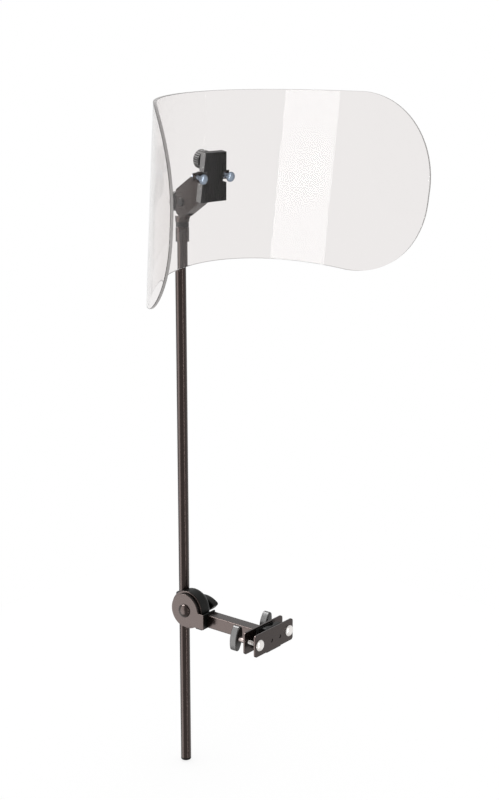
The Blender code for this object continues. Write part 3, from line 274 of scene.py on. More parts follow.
def toward(outline, radius):
    """A ring inside a star-shaped outline: each point on its own ray from the middle, at this radius."""
    return outline / np.linalg.norm(outline, axis=1, keepdims=True) * np.reshape(radius, (-1, 1))


def bored_slab(outline, low, high, edge, bores, axis, centre, steps=8):
    """A slab with a stepped blind bore in its low face, given as (radius, depth) from the mouth inwards.

    Its rings run from the bottom of the bore out through the mouth, round the rim and in to the middle
    of the far face, so the whole piece is one surface.
    """
    rings = []
    for radius, depth in bores[::-1]:
        if rings:
            rings.append((toward(outline, radius), rings[-1][1]))
        else:
            rings = [(0 * outline, low + depth), (toward(outline, radius), low + depth)]
        following = [shallow for _, shallow in bores if shallow < depth]
        rings.append((toward(outline, radius), low + max(following, default=0)))
    quarter = np.linspace(0, np.pi / 2, steps)
    away, up = edge * (1 - np.sin(quarter)), edge * (1 - np.cos(quarter))
    rings += [(inset(outline, step), low + rise) for step, rise in zip(away, up)]
    rings += [(inset(outline, step), high - rise) for step, rise in zip(away[::-1], up[::-1])]
    rings.append((0 * outline, high))
    grid = np.array([np.column_stack([ring, np.full(len(ring), height)]) for ring, height in rings])
    return [skin(lay(grid, axis, centre), wrap_columns=True)]


def rounded_box_outline(width, height, corner, steps=9):
    """An anticlockwise rectangle with round corners, its middle at 0."""
    quarters = []
    for turn, (side, up) in enumerate(((1, 1), (-1, 1), (-1, -1), (1, -1))):
        middle = (side * (width / 2 - corner), up * (height / 2 - corner))
        quarters.append(arc(corner, turn * np.pi / 2, (turn + 1) * np.pi / 2, steps, middle))
    return np.concatenate(quarters)


print("a rounded square has", len(rounded([(0, 0), (1, 0), (1, 1), (0, 1)], 0.2)), "points")

# %% [markdown]
# ## Cutting, softening and dressing
#
# Holes are cut with a Boolean, because a grid has no natural hole. Pieces whose shape is mostly folded
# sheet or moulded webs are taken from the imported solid: its loose triangles are merged, flat areas become
# single faces, and a narrow bevel rounds what was sharp. Then each piece rides on its body.


# %% Tools
def apply_modifiers(made):
    """Writes what the modifiers make into the mesh."""
    bpy.context.view_layer.update()
    shape = made.evaluated_get(bpy.context.evaluated_depsgraph_get())
    mesh = bpy.data.meshes.new_from_object(shape)
    made.modifiers.clear()
    made.data = mesh
    return made


def combine(made, operation, *tools, solver="EXACT"):
    """Cuts tools out of a piece, or joins them to it, and removes them."""
    for tool in tools:
        step = made.modifiers.new("shape", "BOOLEAN")
        step.operation, step.solver, step.object = operation, solver, tool
        apply_modifiers(made)
        bpy.data.objects.remove(tool, do_unlink=True)
    return made


def cylinder(radius, low, high, axis="Y", centre=(0, 0, 0), steps=64, place=WORLD):
    """A plain cylinder to cut or join with."""
    profile = [(0, low), (radius, low), (radius, high), (0, high)]
    return solid("tool", [lathe(profile, axis, centre, steps)], place)


def box_tool(low, high, place=WORLD):
    """A box to cut with: the same four corners at both ends of Y."""
    corners = np.array([[low[0], low[2]], [high[0], low[2]], [high[0], high[2]], [low[0], high[2]]])
    grid = np.array([np.insert(corners, 1, y, axis=1) for y in (low[1], high[1])])
    return solid("tool", [skin(grid, wrap_columns=True), cap(grid[0]), cap(grid[1])], place)


def bevelled(made, width, segments=2, angle=32):
    """Rounds the edges that are sharper than an angle in degrees."""
    step = made.modifiers.new("edges", "BEVEL")
    step.width, step.segments, step.limit_method = width, segments, "ANGLE"
    step.angle_limit, step.harden_normals = np.radians(angle), False
    step.use_clamp_overlap = True
    return apply_modifiers(made)


def merged_copy(node, name):
    """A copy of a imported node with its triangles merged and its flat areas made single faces."""
    made = bpy.data.objects.new(name, frame["nodes"][node].data.copy())
    bpy.context.scene.collection.objects.link(made)
    shape = bmesh.new()
    shape.from_mesh(made.data)
    bmesh.ops.remove_doubles(shape, verts=shape.verts, dist=3e-6)
    bmesh.ops.dissolve_limit(shape, angle_limit=np.radians(1), verts=shape.verts, edges=shape.edges)
    shape.to_mesh(made.data)
    shape.free()
    made.data.materials.clear()
    return made


def dress(made, finish, slot, *nodes, sharp=38):
    """Gives a piece its finish and its body, and lets it stand for the nodes that it replaces."""
    made.data.materials.clear()
    made.data.materials.append(finish)
    made.data.shade_smooth()
    made.data.set_sharp_from_angle(angle=np.radians(sharp))
    flat_first = made.modifiers.new("normals", "WEIGHTED_NORMAL")
    flat_first.keep_sharp = True
    apply_modifiers(made)
    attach(made, body_of_node[nodes[0]])
    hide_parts(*nodes)
    print(made.name, len(made.data.polygons), "faces")
    return made


def span(node):
    """Lowest and highest corner of a node as arrays."""
    low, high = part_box(node)
    return np.array(low), np.array(high)


# %% [markdown]
# ## Finishes
#
# The stand has few materials: satin black powder coat on steel, black moulded plastic, nylon, rubber, two
# colours of zinc plating, turned steel, brass and clear acrylic. Colours are written as sRGB hex and
# turned to linear by one function. One more function adds any node with its settings and its links.


# %% Node tools
def linear(hex_colour):
    """sRGB hex to linear: c / 12.92 below 0.04045, else ((c + 0.055) / 1.055) ^ 2.4."""
    channels = np.array([int(hex_colour[start:start + 2], 16) for start in (1, 3, 5)]) / 255
    curved = np.where(channels <= 0.04045, channels / 12.92, ((channels + 0.055) / 1.055) ** 2.4)
    return (*curved, 1.0)


def add(tree, kind, settings=None, inputs=None):
    """Adds a node. Settings are its properties, and inputs are values or other nodes' outputs by socket."""
    made = tree.nodes.new(kind)
    for name, value in (settings or {}).items():
        setattr(made, name, value)
    for name, value in (inputs or {}).items():
        if isinstance(value, bpy.types.NodeSocket):
            tree.links.new(value, made.inputs[name])
        else:
            made.inputs[name].default_value = value
    return made


def finish_of(name, **constants):
    """A new material with its shader, its object coordinates and its constant values set."""
    made = bpy.data.materials.new(name)
    made.use_nodes = True
    tree = made.node_tree
    shader = tree.nodes["Principled BSDF"]
    for socket, value in constants.items():
        shader.inputs[socket.replace("_", " ")].default_value = value
    coordinates = add(tree, "ShaderNodeTexCoord").outputs["Object"]
    return made, tree, shader, coordinates


# %% [markdown]
# ### Powder coat
#
# The steel is sprayed with polyester powder and baked. The film flows before it sets, which leaves an
# orange peel of about a millimetre and a satin sheen. It is nearly black with a brown cast, so what one sees
# is mostly its reflection of the studio.


# %% Powder coat
def powder_coat():
    """Near-black satin coat with orange peel of 1.1 mm and slow clouds of 14 mm."""
    made, tree, shader, place = finish_of("powder_coated_steel", Specular_Tint=linear("#ffe3db"), IOR=1.42)
    peel = add(tree, "ShaderNodeTexNoise", {}, {"Vector": place, "Scale": 1 / (1.1 * MM), "Detail": 2.0})
    cloud = add(tree, "ShaderNodeTexNoise", {}, {"Vector": place, "Scale": 1 / (14 * MM), "Detail": 3.0})
    peel, cloud = peel.outputs["Fac"], cloud.outputs["Fac"]
    tone = {0: cloud, 6: linear("#0b0807"), 7: linear("#16110f")}
    colour = add(tree, "ShaderNodeMix", {"data_type": "RGBA"}, tone)
    satin = {"Value": peel, "From Min": 0.3, "From Max": 0.7, "To Min": 0.2, "To Max": 0.27}
    satin = add(tree, "ShaderNodeMapRange", {}, satin)
    relief = add(tree, "ShaderNodeBump", {}, {"Height": peel, "Distance": 0.03 * MM, "Strength": 0.25})
    tree.links.new(colour.outputs[2], shader.inputs["Base Color"])
    tree.links.new(satin.outputs["Result"], shader.inputs["Roughness"])
    tree.links.new(relief.outputs["Normal"], shader.inputs["Normal"])
    return made


COATED_STEEL = powder_coat()
print(COATED_STEEL.name)

# %% [markdown]
# ### Moulded plastic
#
# Knobs, block and clamp body are injection moulded in black glass-filled nylon or ABS. The tool's
# spark-eroded texture makes them matt, and their black is a little greener than the steel's. The two jaw
# knobs have a smoother, browner skin that catches more light.


# %% Moulded plastics
def moulded(name, dark, light, smooth, rough, texture, depth, shine):
    """Black moulded plastic with a spark-eroded texture of this many millimetres."""
    made, tree, shader, place = finish_of(name, IOR=1.5, Specular_IOR_Level=shine)
    pits = add(tree, "ShaderNodeTexNoise", {}, {"Vector": place, "Scale": 1 / (texture * MM), "Detail": 3.0})
    cloud = add(tree, "ShaderNodeTexNoise", {}, {"Vector": place, "Scale": 1 / (9 * MM), "Detail": 2.0})
    pits, cloud = pits.outputs["Fac"], cloud.outputs["Fac"]
    colour = add(tree, "ShaderNodeMix", {"data_type": "RGBA"}, {0: cloud, 6: linear(dark), 7: linear(light)})
    matt = {"Value": pits, "From Min": 0.3, "From Max": 0.7, "To Min": smooth, "To Max": rough}
    matt = add(tree, "ShaderNodeMapRange", {}, matt)
    relief = add(tree, "ShaderNodeBump", {}, {"Height": pits, "Distance": 0.04 * MM, "Strength": depth})
    tree.links.new(colour.outputs[2], shader.inputs["Base Color"])
    tree.links.new(matt.outputs["Result"], shader.inputs["Roughness"])
    tree.links.new(relief.outputs["Normal"], shader.inputs["Normal"])
    return made


BLACK_PLASTIC = moulded("moulded_black_plastic", "#050504", "#0b0b09", 0.34, 0.46, 0.7, 0.35, 0.13)
KNOB_PLASTIC = moulded("spark_eroded_knob_plastic", "#120e0c", "#1e1a17", 0.3, 0.42, 0.9, 0.45, 0.6)
NYLON = moulded("turned_nylon", "#0d0d0d", "#151515", 0.45, 0.6, 0.5, 0.3, 0.25)
RUBBER = moulded("moulded_rubber", "#090909", "#11110f", 0.7, 0.85, 0.6, 0.9, 0.2)
print(BLACK_PLASTIC.name, KNOB_PLASTIC.name, NYLON.name, RUBBER.name)

# %% [markdown]
# ### Plated steel and brass
#
# The clamp's bolts are bright zinc, almost white, and the sheet's bolts are passivated, which gives a
# thin blue film. Both have fine scratches and a mottled sheen from the plating barrel. The spacers behind
# the jaw knobs are plain turned steel, darker and warmer than zinc.


# %% Plated metals
def plated(name, first, second, smooth, rough):
    """A plated metal with mottling of 2.5 mm and fine scratches."""
    made, tree, shader, place = finish_of(name, Metallic=1.0)
    mottle = add(tree, "ShaderNodeTexNoise", {}, {"Vector": place, "Scale": 1 / (2.5 * MM), "Detail": 4.0})
    fine = add(tree, "ShaderNodeTexNoise", {}, {"Vector": place, "Scale": 1 / (0.5 * MM), "Detail": 3.0})
    mottle, fine = mottle.outputs["Fac"], fine.outputs["Fac"]
    tone = {0: mottle, 6: linear(first), 7: linear(second)}
    colour = add(tree, "ShaderNodeMix", {"data_type": "RGBA"}, tone)
    sheen = {"Value": fine, "From Min": 0.3, "From Max": 0.7, "To Min": smooth, "To Max": rough}
    sheen = add(tree, "ShaderNodeMapRange", {}, sheen)
    relief = add(tree, "ShaderNodeBump", {}, {"Height": fine, "Distance": 0.01 * MM, "Strength": 0.4})
    tree.links.new(colour.outputs[2], shader.inputs["Base Color"])
    tree.links.new(sheen.outputs["Result"], shader.inputs["Roughness"])
    tree.links.new(relief.outputs["Normal"], shader.inputs["Normal"])
    return made


BRIGHT_ZINC = plated("bright_zinc_plate", "#c9c6c3", "#dedbd8", 0.2, 0.32)
BLUE_ZINC = plated("blue_passivated_zinc", "#6c7683", "#929ca8", 0.2, 0.32)
TURNED_STEEL = plated("turned_steel", "#5f5856", "#756d6a", 0.32, 0.46)
BRASS = plated("turned_brass", "#b8975a", "#cfae6c", 0.22, 0.35)
print(BRIGHT_ZINC.name, BLUE_ZINC.name, TURNED_STEEL.name, BRASS.name)

# %% [markdown]
# ### Clear acrylic
#
# The sheet is cast acrylic, 4 mm thick. It is real glass-like plastic here: a closed solid with an index of
# 1.49, so it bends light. The sawn and scraped edge scatters light instead and shows as a grey line, so it
# has a finish of its own.


# %% Acrylic
def acrylic(name, colour):
    """Clear plastic with a very faint haze in patches of 60 mm, and a sheen as weak as the photograph's."""
    made, tree, shader, place = finish_of(name, Transmission_Weight=1.0, IOR=1.49, Base_Color=linear(colour),
                                          Specular_Tint=linear("#808080"))
    cloud = add(tree, "ShaderNodeTexNoise", {}, {"Vector": place, "Scale": 1 / (60 * MM), "Detail": 2.0})
    haze = {"Value": cloud.outputs["Fac"], "From Min": 0.3, "From Max": 0.7, "To Min": 0.0, "To Max": 0.01}
    haze = add(tree, "ShaderNodeMapRange", {}, haze)
    tree.links.new(haze.outputs["Result"], shader.inputs["Roughness"])
    return made


def sawn_rim(name, colour):
    """The sheet's sawn and scraped edge: grey, half clear, with saw marks of 1.2 mm in its gloss."""
    made, tree, shader, place = finish_of(name, Transmission_Weight=0.35, IOR=1.49, Base_Color=linear(colour))
    marks = add(tree, "ShaderNodeTexNoise", {}, {"Vector": place, "Scale": 1 / (1.2 * MM), "Detail": 2.0})
    scrape = {"Value": marks.outputs["Fac"], "From Min": 0.3, "From Max": 0.7, "To Min": 0.25, "To Max": 0.45}
    scrape = add(tree, "ShaderNodeMapRange", {}, scrape)
    tree.links.new(scrape.outputs["Result"], shader.inputs["Roughness"])
    return made


CLEAR_SHEET = acrylic("cast_acrylic", "#edeae9")
SHEET_RIM = sawn_rim("sawn_acrylic_edge", "#b4b0ae")
print(CLEAR_SHEET.name, SHEET_RIM.name)

# %% [markdown]
# ## The sheet
#
# The sheet is cut flat with flared edges and elliptical ends, then bent warm over a former. Its outline is
# written in the flat, and one function carries flat points on to the bend. Two face grids and a rim that
# follows the whole outline close it, with the rim's corners eased as a scraped edge is.

# %% Sheet sizes
SHEET_THICKNESS = 4 * MM
SHEET_LENGTH = 634.5 * MM
SHEET_HEIGHT = 237.7 * MM
SHEET_CORNER = 110.5 * MM
SHEET_FLARE = 7.33 * MM
SHEET_RADIUS = 188.4 * MM
SHEET_EASE = 0.53
FLARE_AT = 200 * MM
EASE_AT = 300 * MM
RIM_ROUND = 0.7 * MM
KNURL_RISE = 19.6 * MM


def half_height(along):
    """Half the height along the bend: it grows with the square of the distance, then rounds off."""
    straight = SHEET_LENGTH / 2 - SHEET_CORNER
    flare = 1 + SHEET_FLARE * (np.minimum(abs(along), straight) / FLARE_AT) ** 2 * 2 / SHEET_HEIGHT
    past = np.maximum(0, abs(along) - straight) / SHEET_CORNER
    return (SHEET_HEIGHT / 2 - SHEET_CORNER + SHEET_CORNER * np.sqrt(np.maximum(0, 1 - past ** 2))) * flare


BEND_STEPS = 4001
bend_along = np.linspace(-SHEET_LENGTH / 2, SHEET_LENGTH / 2, BEND_STEPS)
bend_turn = bend_along / SHEET_RADIUS - SHEET_EASE * bend_along ** 3 / (3 * EASE_AT ** 2 * SHEET_RADIUS)
stride = np.diff(bend_along)
middle_turn = (bend_turn[1:] + bend_turn[:-1]) / 2
bend_x = np.concatenate([[0], np.cumsum(np.cos(middle_turn) * stride)])
bend_y = -np.concatenate([[0], np.cumsum(np.sin(middle_turn) * stride)])
bend_x -= bend_x[BEND_STEPS // 2]
bend_y -= bend_y[BEND_STEPS // 2]


def on_the_bend(along, up, depth):
    """Flat (along, up) to the bent hollow face, then back by depth along its normal (sin a, cos a)."""
    turn = np.interp(along, bend_along, bend_turn)
    x = np.interp(along, bend_along, bend_x) + depth * np.sin(turn)
    y = np.interp(along, bend_along, bend_y) + depth * np.cos(turn)
    return np.stack([x, y, up - KNURL_RISE], -1)


print("the sheet is", round((bend_x[-1] - bend_x[0]) / MM), "mm across its bend")

# %% Sheet
SHEET_ROWS = 13
BOLT_PITCH = 46.6 * MM
BOLT_RISE = 1 * MM
BOLT_HOLE = 6.8 * MM
bolt_up = BOLT_RISE - KNURL_RISE


def sheet_outline(columns=48):
    """The flat outline, anticlockwise seen from the hollow side, with rows down its two straight ends."""
    straight = SHEET_LENGTH / 2 - SHEET_CORNER
    flat = np.linspace(0, straight, columns)
    quarter = np.linspace(0, np.pi / 2, columns)[1:]
    half = np.concatenate([flat, straight + SHEET_CORNER * np.sin(quarter)])
    along = np.concatenate([-half[:0:-1], half])
    height = half_height(along)
    rows = np.linspace(1, -1, SHEET_ROWS)[1:-1] * height[0]
    top = np.stack([along, height], -1)
    right = np.stack([np.full(len(rows), along[-1]), rows], -1)
    bottom = np.stack([along, -height], -1)[::-1]
    left = np.stack([np.full(len(rows), along[0]), rows[::-1]], -1)
    return np.concatenate([top, right, bottom, left]), len(along)


def shield_sheet():
    """A rim of rings round the outline, and two grids that blend its top line into its bottom one.

    The grids' side columns are the rim's own points, so that the three close without a gap.
    """
    outline, columns = sheet_outline()
    quarter = np.linspace(0, np.pi / 2, 5)
    away = RIM_ROUND * (1 - np.sin(quarter))
    depth = RIM_ROUND * (1 - np.cos(quarter))
    away, depth = np.concatenate([away, away[::-1]]), np.concatenate([depth, SHEET_THICKNESS - depth[::-1]])
    rings = [on_the_bend(*inset(outline, -step).T, back) for step, back in zip(away, depth)]
    skins = [skin(np.array(rings), wrap_columns=True)]
    rim = inset(outline, -RIM_ROUND)
    top, right, bottom, left = np.split(rim, np.cumsum([columns, SHEET_ROWS - 2, columns]))
    share = np.linspace(0, 1, SHEET_ROWS)[:, None, None]
    flat = top * (1 - share) + bottom[::-1] * share
    flat[1:-1, 0], flat[1:-1, -1] = left[::-1], right
    for back in (0, SHEET_THICKNESS):
        skins.append(skin(on_the_bend(flat[..., 0], flat[..., 1], back)))
    made = solid("shield_sheet", skins, ROLL)
    for side in (-1, 1):
        centre = (side * BOLT_PITCH / 2, 0, bolt_up)
        combine(made, "DIFFERENCE", cylinder(BOLT_HOLE / 2, -30 * MM, 30 * MM, "Y", centre, 48, ROLL))
    return dress(made, CLEAR_SHEET, "clear_sheet", "shield_panel", sharp=30)


def mark_rim(made):
    """Gives the sawn finish to faces that stand across the sheet: |n . (sin a, cos a)| < 0.5 on the bend."""
    count = len(made.data.polygons)
    centre, normal = np.empty(3 * count), np.empty(3 * count)
    made.data.polygons.foreach_get("center", centre)
    made.data.polygons.foreach_get("normal", normal)
    centre = (centre.reshape(-1, 3) - ROLL[:3, 3]) @ ROLL[:3, :3]
    normal = normal.reshape(-1, 3) @ ROLL[:3, :3]
    turn = np.interp(np.interp(centre[:, 0], bend_x, bend_along), bend_along, bend_turn)
    across = abs(normal[:, 0] * np.sin(turn) + normal[:, 1] * np.cos(turn)) < 0.5
    made.data.materials.append(SHEET_RIM)
    made.data.polygons.foreach_set("material_index", across.astype(np.int32))
    made.data.update()
    print("rim faces:", int(across.sum()))


sheet = shield_sheet()
mark_rim(sheet)

# %% [markdown]
# ## Fasteners
#
# A thread is a helix: its radius falls and rises with the height less the share of a turn times the pitch.
# Written as one formula over a grid it needs no Boolean, and both ends fade into the shank.


# %% Threads and heads
def thread(radius, pitch, low, high, steps=40, rows_per_turn=8, depth_share=0.54):
    """A threaded rod's skin: r = R - d |saw|, and saw runs once a pitch along height - pitch a / (2 pi)."""
    rows = max(4, int((high - low) / pitch * rows_per_turn))
    height = np.linspace(low, high, rows)[:, None]
    angle = np.linspace(0, 2 * np.pi, steps, endpoint=False)[None, :]
    saw = abs(((height / pitch - angle / (2 * np.pi)) % 1) * 2 - 1)
    fade = np.clip(np.minimum(height - low, high - height) / pitch, 0, 1)
    r = radius - depth_share * pitch * saw * fade
    return np.stack([r * np.cos(angle), r * np.sin(angle), height + 0 * angle], -1)


def dome_profile(radius, height, count=18):
    """A pressed head, flat on top and steep at the rim: h = H (1 - (r / R)^2.6)^0.55."""
    r = radius * np.sin(np.linspace(0, np.pi / 2, count))
    return np.stack([r, height * np.maximum(0, 1 - (r / radius) ** 2.6) ** 0.55], -1)


def domed_bolt(name, axis, centre, head, dome, shank, length, pitch, plain, finish, slot, node,
               place=WORLD):
    """A carriage bolt: a domed head, a plain neck and a threaded shank with a chamfered end.

    It is drawn with its head up, and turned over so that the shank runs along the axis.
    """
    profile = np.concatenate([dome_profile(head / 2, dome), [(shank / 2, 0), (shank / 2, -plain)]])
    top = lathe(profile, steps=96)[0].reshape(len(profile), 96, 3)
    screw = thread(shank / 2, pitch, -length + 0.4 * shank, -plain, 96)[::-1]
    end = lathe([(shank / 2, -length + 0.4 * shank), (0.38 * shank, -length), (0, -length)], steps=96)[0]
    grid = np.concatenate([top, screw[1:], end.reshape(3, 96, 3)[1:]])
    grid[..., 2] *= -1
    made = solid(name, [skin(lay(grid, axis, centre), wrap_columns=True)], place)
    return dress(made, finish, slot, node, sharp=50)


def hex_nut(name, axis, centre, across, height, bore, finish, slot, node, place=WORLD):
    """A nut: its radius is the lesser of the hexagon's and of a cone that chamfers both faces."""
    angle = np.linspace(0, 2 * np.pi, 96, endpoint=False)
    hexagon = across / 2 / np.cos((angle + np.pi / 6) % (np.pi / 3) - np.pi / 6)
    up = np.linspace(0, height, 13)[:, None]
    cone = across / 2 * 1.02 + 1.7 * np.minimum(up, height - up)
    outer = np.minimum(hexagon[None, :], cone)
    wall = np.stack([outer * np.cos(angle), outer * np.sin(angle), up + 0 * angle], -1)
    hole = np.stack([bore * np.cos(angle), bore * np.sin(angle)], -1)
    hole_low = np.column_stack([hole, np.zeros(96)])[None]
    hole_high = np.column_stack([hole, np.full(96, height)])[None]
    grid = np.concatenate([wall, hole_high, hole_low])
    made = solid(name, [skin(lay(grid, axis, centre), wrap_rows=True, wrap_columns=True)], place)
    return dress(made, finish, slot, node, sharp=25)


def washer(name, axis, centre, radius, bore, thickness, finish, slot, node, place=WORLD):
    """A flat ring with eased edges."""
    profile = ring_profile(radius, bore, 0, thickness, 0.25 * MM)
    made = solid(name, [lathe(profile, axis, centre, 96, closed=True)], place)
    return dress(made, finish, slot, node)


M8_BORE = 4.3 * MM
M6_BORE = 3.3 * MM
print("a thread of 10 turns has", thread(4 * MM, 1.25 * MM, 0, 12.5 * MM).shape[0], "rows")

# %% [markdown]
# ## Jaws
#
# Two pressed plates of 3 mm steel slide on two bolts. The front plate backs a plastic block with a V
# groove that centres a round tube, and the rear one has a rubber pad. The plates are slabs with eased rims
# and reamed holes.

# %% Jaw plates
JAW_CORNER = 4 * MM
JAW_HOLE = 6.8 * MM
VEE_HOLE = 5.5 * MM
VEE_DROP = 2 * MM


def jaw_plate(name, node, holes):
    """A rounded rectangle with thickness, and its (x, z, radius) holes."""
    low, high = span(node)
    size, middle = high - low, (high + low) / 2
    outline = rounded_box_outline(size[2], size[0], JAW_CORNER)
    centre = (middle[0], 0, middle[2])
    made = solid(name, slab(outline, low[1], high[1], 0.45 * MM, "Y", centre))
    for x, z, radius in holes:
        combine(made, "DIFFERENCE", cylinder(radius, low[1] - MM, high[1] + MM, "Y", (x, 0, z)))
    return dress(bevelled(made, 0.25 * MM), COATED_STEEL, "coated_steel", node)


SIDES = ("left", "right")
bolt_x = [float(sum(span("jaw_bolt_" + side))[0] / 2) for side in SIDES]
screw_x = [float(sum(span("vee_block_screw_" + side))[0] / 2) for side in SIDES]
bolt_holes = [(x, 0, JAW_HOLE / 2) for x in bolt_x]
screw_holes = [(x, -VEE_DROP, VEE_HOLE / 2) for x in screw_x]
jaw_plate("rear_plate", "rear_jaw_plate", bolt_holes)
jaw_plate("front_plate", "front_jaw_plate", bolt_holes + screw_holes)


# %% Pad, vee block and bolts
PAD_PITCH = 2.5 * MM
PAD_GROOVE = 0.5 * MM


def ribbed_pad():
    """The rear jaw's rubber, whose grip face has ribs: y = low + d (1 + cos(2 pi x / pitch))."""
    low, high = span("rear_jaw_pad")
    x = np.linspace(low[0], high[0], 161)
    z = np.linspace(low[2], high[2], 9)
    groove = PAD_GROOVE / 2 * (1 + np.cos(2 * np.pi * x / PAD_PITCH)) * (abs(x) < high[0] - 2 * MM)
    grip = np.stack(np.broadcast_arrays(x[None, :], (low[1] + groove)[None, :], z[:, None]), -1)
    back = grip.copy()
    back[..., 1] = high[1]
    sides = [np.stack([grip[0], back[0]]), np.stack([grip[-1], back[-1]]),
             np.stack([grip[:, 0], back[:, 0]]), np.stack([grip[:, -1], back[:, -1]])]
    made = solid("rubber_pad", [skin(grip), skin(back)] + [skin(side) for side in sides])
    return dress(made, RUBBER, "rubber", "rear_jaw_pad", sharp=50)


ribbed_pad()
vee_grip = bevelled(merged_copy("vee_block", "vee_grip_block"), 0.3 * MM)
dress(vee_grip, BLACK_PLASTIC, "black_plastic", "vee_block")

JAW_BOLT_HEAD = 17 * MM
JAW_BOLT_DOME = 4.2 * MM
M6 = 6 * MM
M6_PITCH = 1 * MM
bolt_seat = span("front_jaw_plate")[0][1] - GAP
for side, x in zip(SIDES, bolt_x):
    low, high = span("jaw_bolt_" + side)
    domed_bolt("clamp_bolt_" + side, "Y", (x, bolt_seat, 0), JAW_BOLT_HEAD, JAW_BOLT_DOME, M6,
               high[1] - bolt_seat, M6_PITCH, 5 * MM, BRIGHT_ZINC, "bright_zinc", "jaw_bolt_" + side)


# %% [markdown]
# ## Wing knobs
#
# All three hand nuts are wing knobs: two arcs meet in rounded tips. For half length a to the tip's middle,
# half width b and tip radius t, the arcs' radius R follows from (R - t)^2 = a^2 + (R - b)^2.


# %% Wing outline
def wing(length, width, tip, lean, count=60):
    """An anticlockwise outline whose long axis is turned by the lean from the first direction."""
    reach, half = length / 2 - tip, width / 2
    side = (reach ** 2 + half ** 2 - tip ** 2) / (2 * (half - tip))
    spread = np.arcsin(reach / (side - tip))
    end = arc(tip, spread - np.pi / 2, np.pi / 2 - spread, count // 3, (reach, 0))[:-1]
    flank = arc(side, np.pi / 2 - spread, np.pi / 2 + spread, count, (0, half - side))[:-1]
    points = np.concatenate([end, flank, -end, -flank])
    return points @ np.array([[np.cos(lean), np.sin(lean)], [-np.sin(lean), np.cos(lean)]])


print("a wing has", len(wing(0.04, 0.015, 0.004, 0)), "points")

# %% Jaw knobs
JAW_KNOB_LENGTH = 37 * MM
JAW_KNOB_WIDTH = 15 * MM
JAW_KNOB_TIP = 4.5 * MM
JAW_KNOB_BORE = 11 * MM
JAW_KNOB_LEANS = {"left": np.radians(12), "right": np.radians(16)}


def jaw_knob(side, x):
    """A knob and the steel ferrule that reaches from it to the plate."""
    low, high = span("jaw_knob_" + side)
    outline = wing(JAW_KNOB_LENGTH, JAW_KNOB_WIDTH, JAW_KNOB_TIP, JAW_KNOB_LEANS[side])
    bore = [(M6_BORE, JAW_KNOB_BORE)]
    made = solid("wing_knob_" + side, bored_slab(outline, low[1], high[1], 1.9 * MM, bore, "Y", (x, 0, 0)))
    dress(made, KNOB_PLASTIC, "black_plastic", "jaw_knob_" + side, sharp=50)
    low, high = span("jaw_knob_ferrule_" + side)
    profile = ring_profile((high[0] - low[0]) / 2, M6_BORE, low[1], high[1], 0.4 * MM)
    ferrule = solid("knob_ferrule_" + side, [lathe(profile, "Y", (x, 0, 0), 96, closed=True)])
    dress(ferrule, TURNED_STEEL, "bright_zinc", "jaw_knob_ferrule_" + side)


for side, x in zip(SIDES, bolt_x):
    jaw_knob(side, x)

# %% [markdown]
# ## Arm
#
# The arm is a 20 mm square tube with rolled corners. Its light upper left edge in the photograph is the
# studio lamp caught in that corner, so the corner is modelled as a true round.


# %% Arm
TUBE_WALL = 1.5 * MM
TUBE_ROUND = 1.6 * MM


def square_tube():
    """Two rounded squares joined at their ends, with the outer rims eased."""
    low, high = span("arm_tube")
    middle, size = (low + high) / 2, high - low
    outer = rounded_box_outline(size[2], size[0], TUBE_ROUND, 7)
    inner = rounded_box_outline(size[2] - 2 * TUBE_WALL, size[0] - 2 * TUBE_WALL, 0.3 * MM, 7)
    edge = 0.2 * MM
    rings = [(outer, low[1] + edge), (outer, high[1] - edge), (inset(outer, edge), high[1]),
             (inner, high[1]), (inner, low[1]), (inset(outer, edge), low[1])]
    grid = np.array([np.column_stack([ring, np.full(len(ring), y)]) for ring, y in rings])
    grid = lay(grid, "Y", (middle[0], 0, middle[2]))
    made = solid("square_arm", [skin(grid, wrap_rows=True, wrap_columns=True)])
    return dress(made, COATED_STEEL, "coated_steel", "arm_tube")


square_tube()
collar = bevelled(merged_copy("arm_end_insert", "arm_collar"), 0.35 * MM)
dress(collar, BLACK_PLASTIC, "black_plastic", "arm_end_insert")

# %% [markdown]
# ## Swivel
#
# The ear plate is pressed steel: a disc with a tab that goes into the arm. Behind it lie a friction disc, a
# pressure disc, the plastic body that grips the rod, and a wing knob on the same bolt.

# %% Ear plate and discs
PIVOT_Y, PIVOT_Z = joints["arm_tilt"]["pos_m"][1:]
pivot = (0, PIVOT_Y, PIVOT_Z)
EAR_RADIUS = 26 * MM
EAR_REACH = 37.7 * MM
TAB_TOP = 1.3 * MM
TAB_BOTTOM = -22.3 * MM
TAB_FILLET = 4 * MM


def ear_plate():
    """A circle from the tab's lower corner round to its upper one, closed by the tab with a hollow fillet."""
    low, high = span("ear_plate")
    start = -np.pi - np.arcsin(TAB_BOTTOM / EAR_RADIUS)
    end = np.pi - np.arcsin((TAB_TOP + TAB_FILLET) / EAR_RADIUS)
    disc = arc(EAR_RADIUS, start, end, 140)
    touch = disc[-1]
    t = np.linspace(0, 1, 9)[1:, None]
    foot = np.array([-EAR_RADIUS - 0.8 * TAB_FILLET, TAB_TOP])
    knee = np.array([-EAR_RADIUS - 0.05 * TAB_FILLET, TAB_TOP])
    fillet = (1 - t) ** 2 * touch + 2 * t * (1 - t) * knee + t ** 2 * foot
    corners = [foot, (-EAR_REACH, TAB_TOP), (-EAR_REACH, TAB_BOTTOM), disc[0]]
    outline = np.concatenate([disc, fillet, rounded(corners, 1.2 * MM, closed=False)[1:-1]])
    made = solid("ear", slab(outline, low[0], high[0], 0.5 * MM, "X", pivot))
    combine(made, "DIFFERENCE", cylinder(M8_BORE, low[0] - MM, high[0] + MM, "X", pivot))
    return dress(made, COATED_STEEL, "coated_steel", "ear_plate")


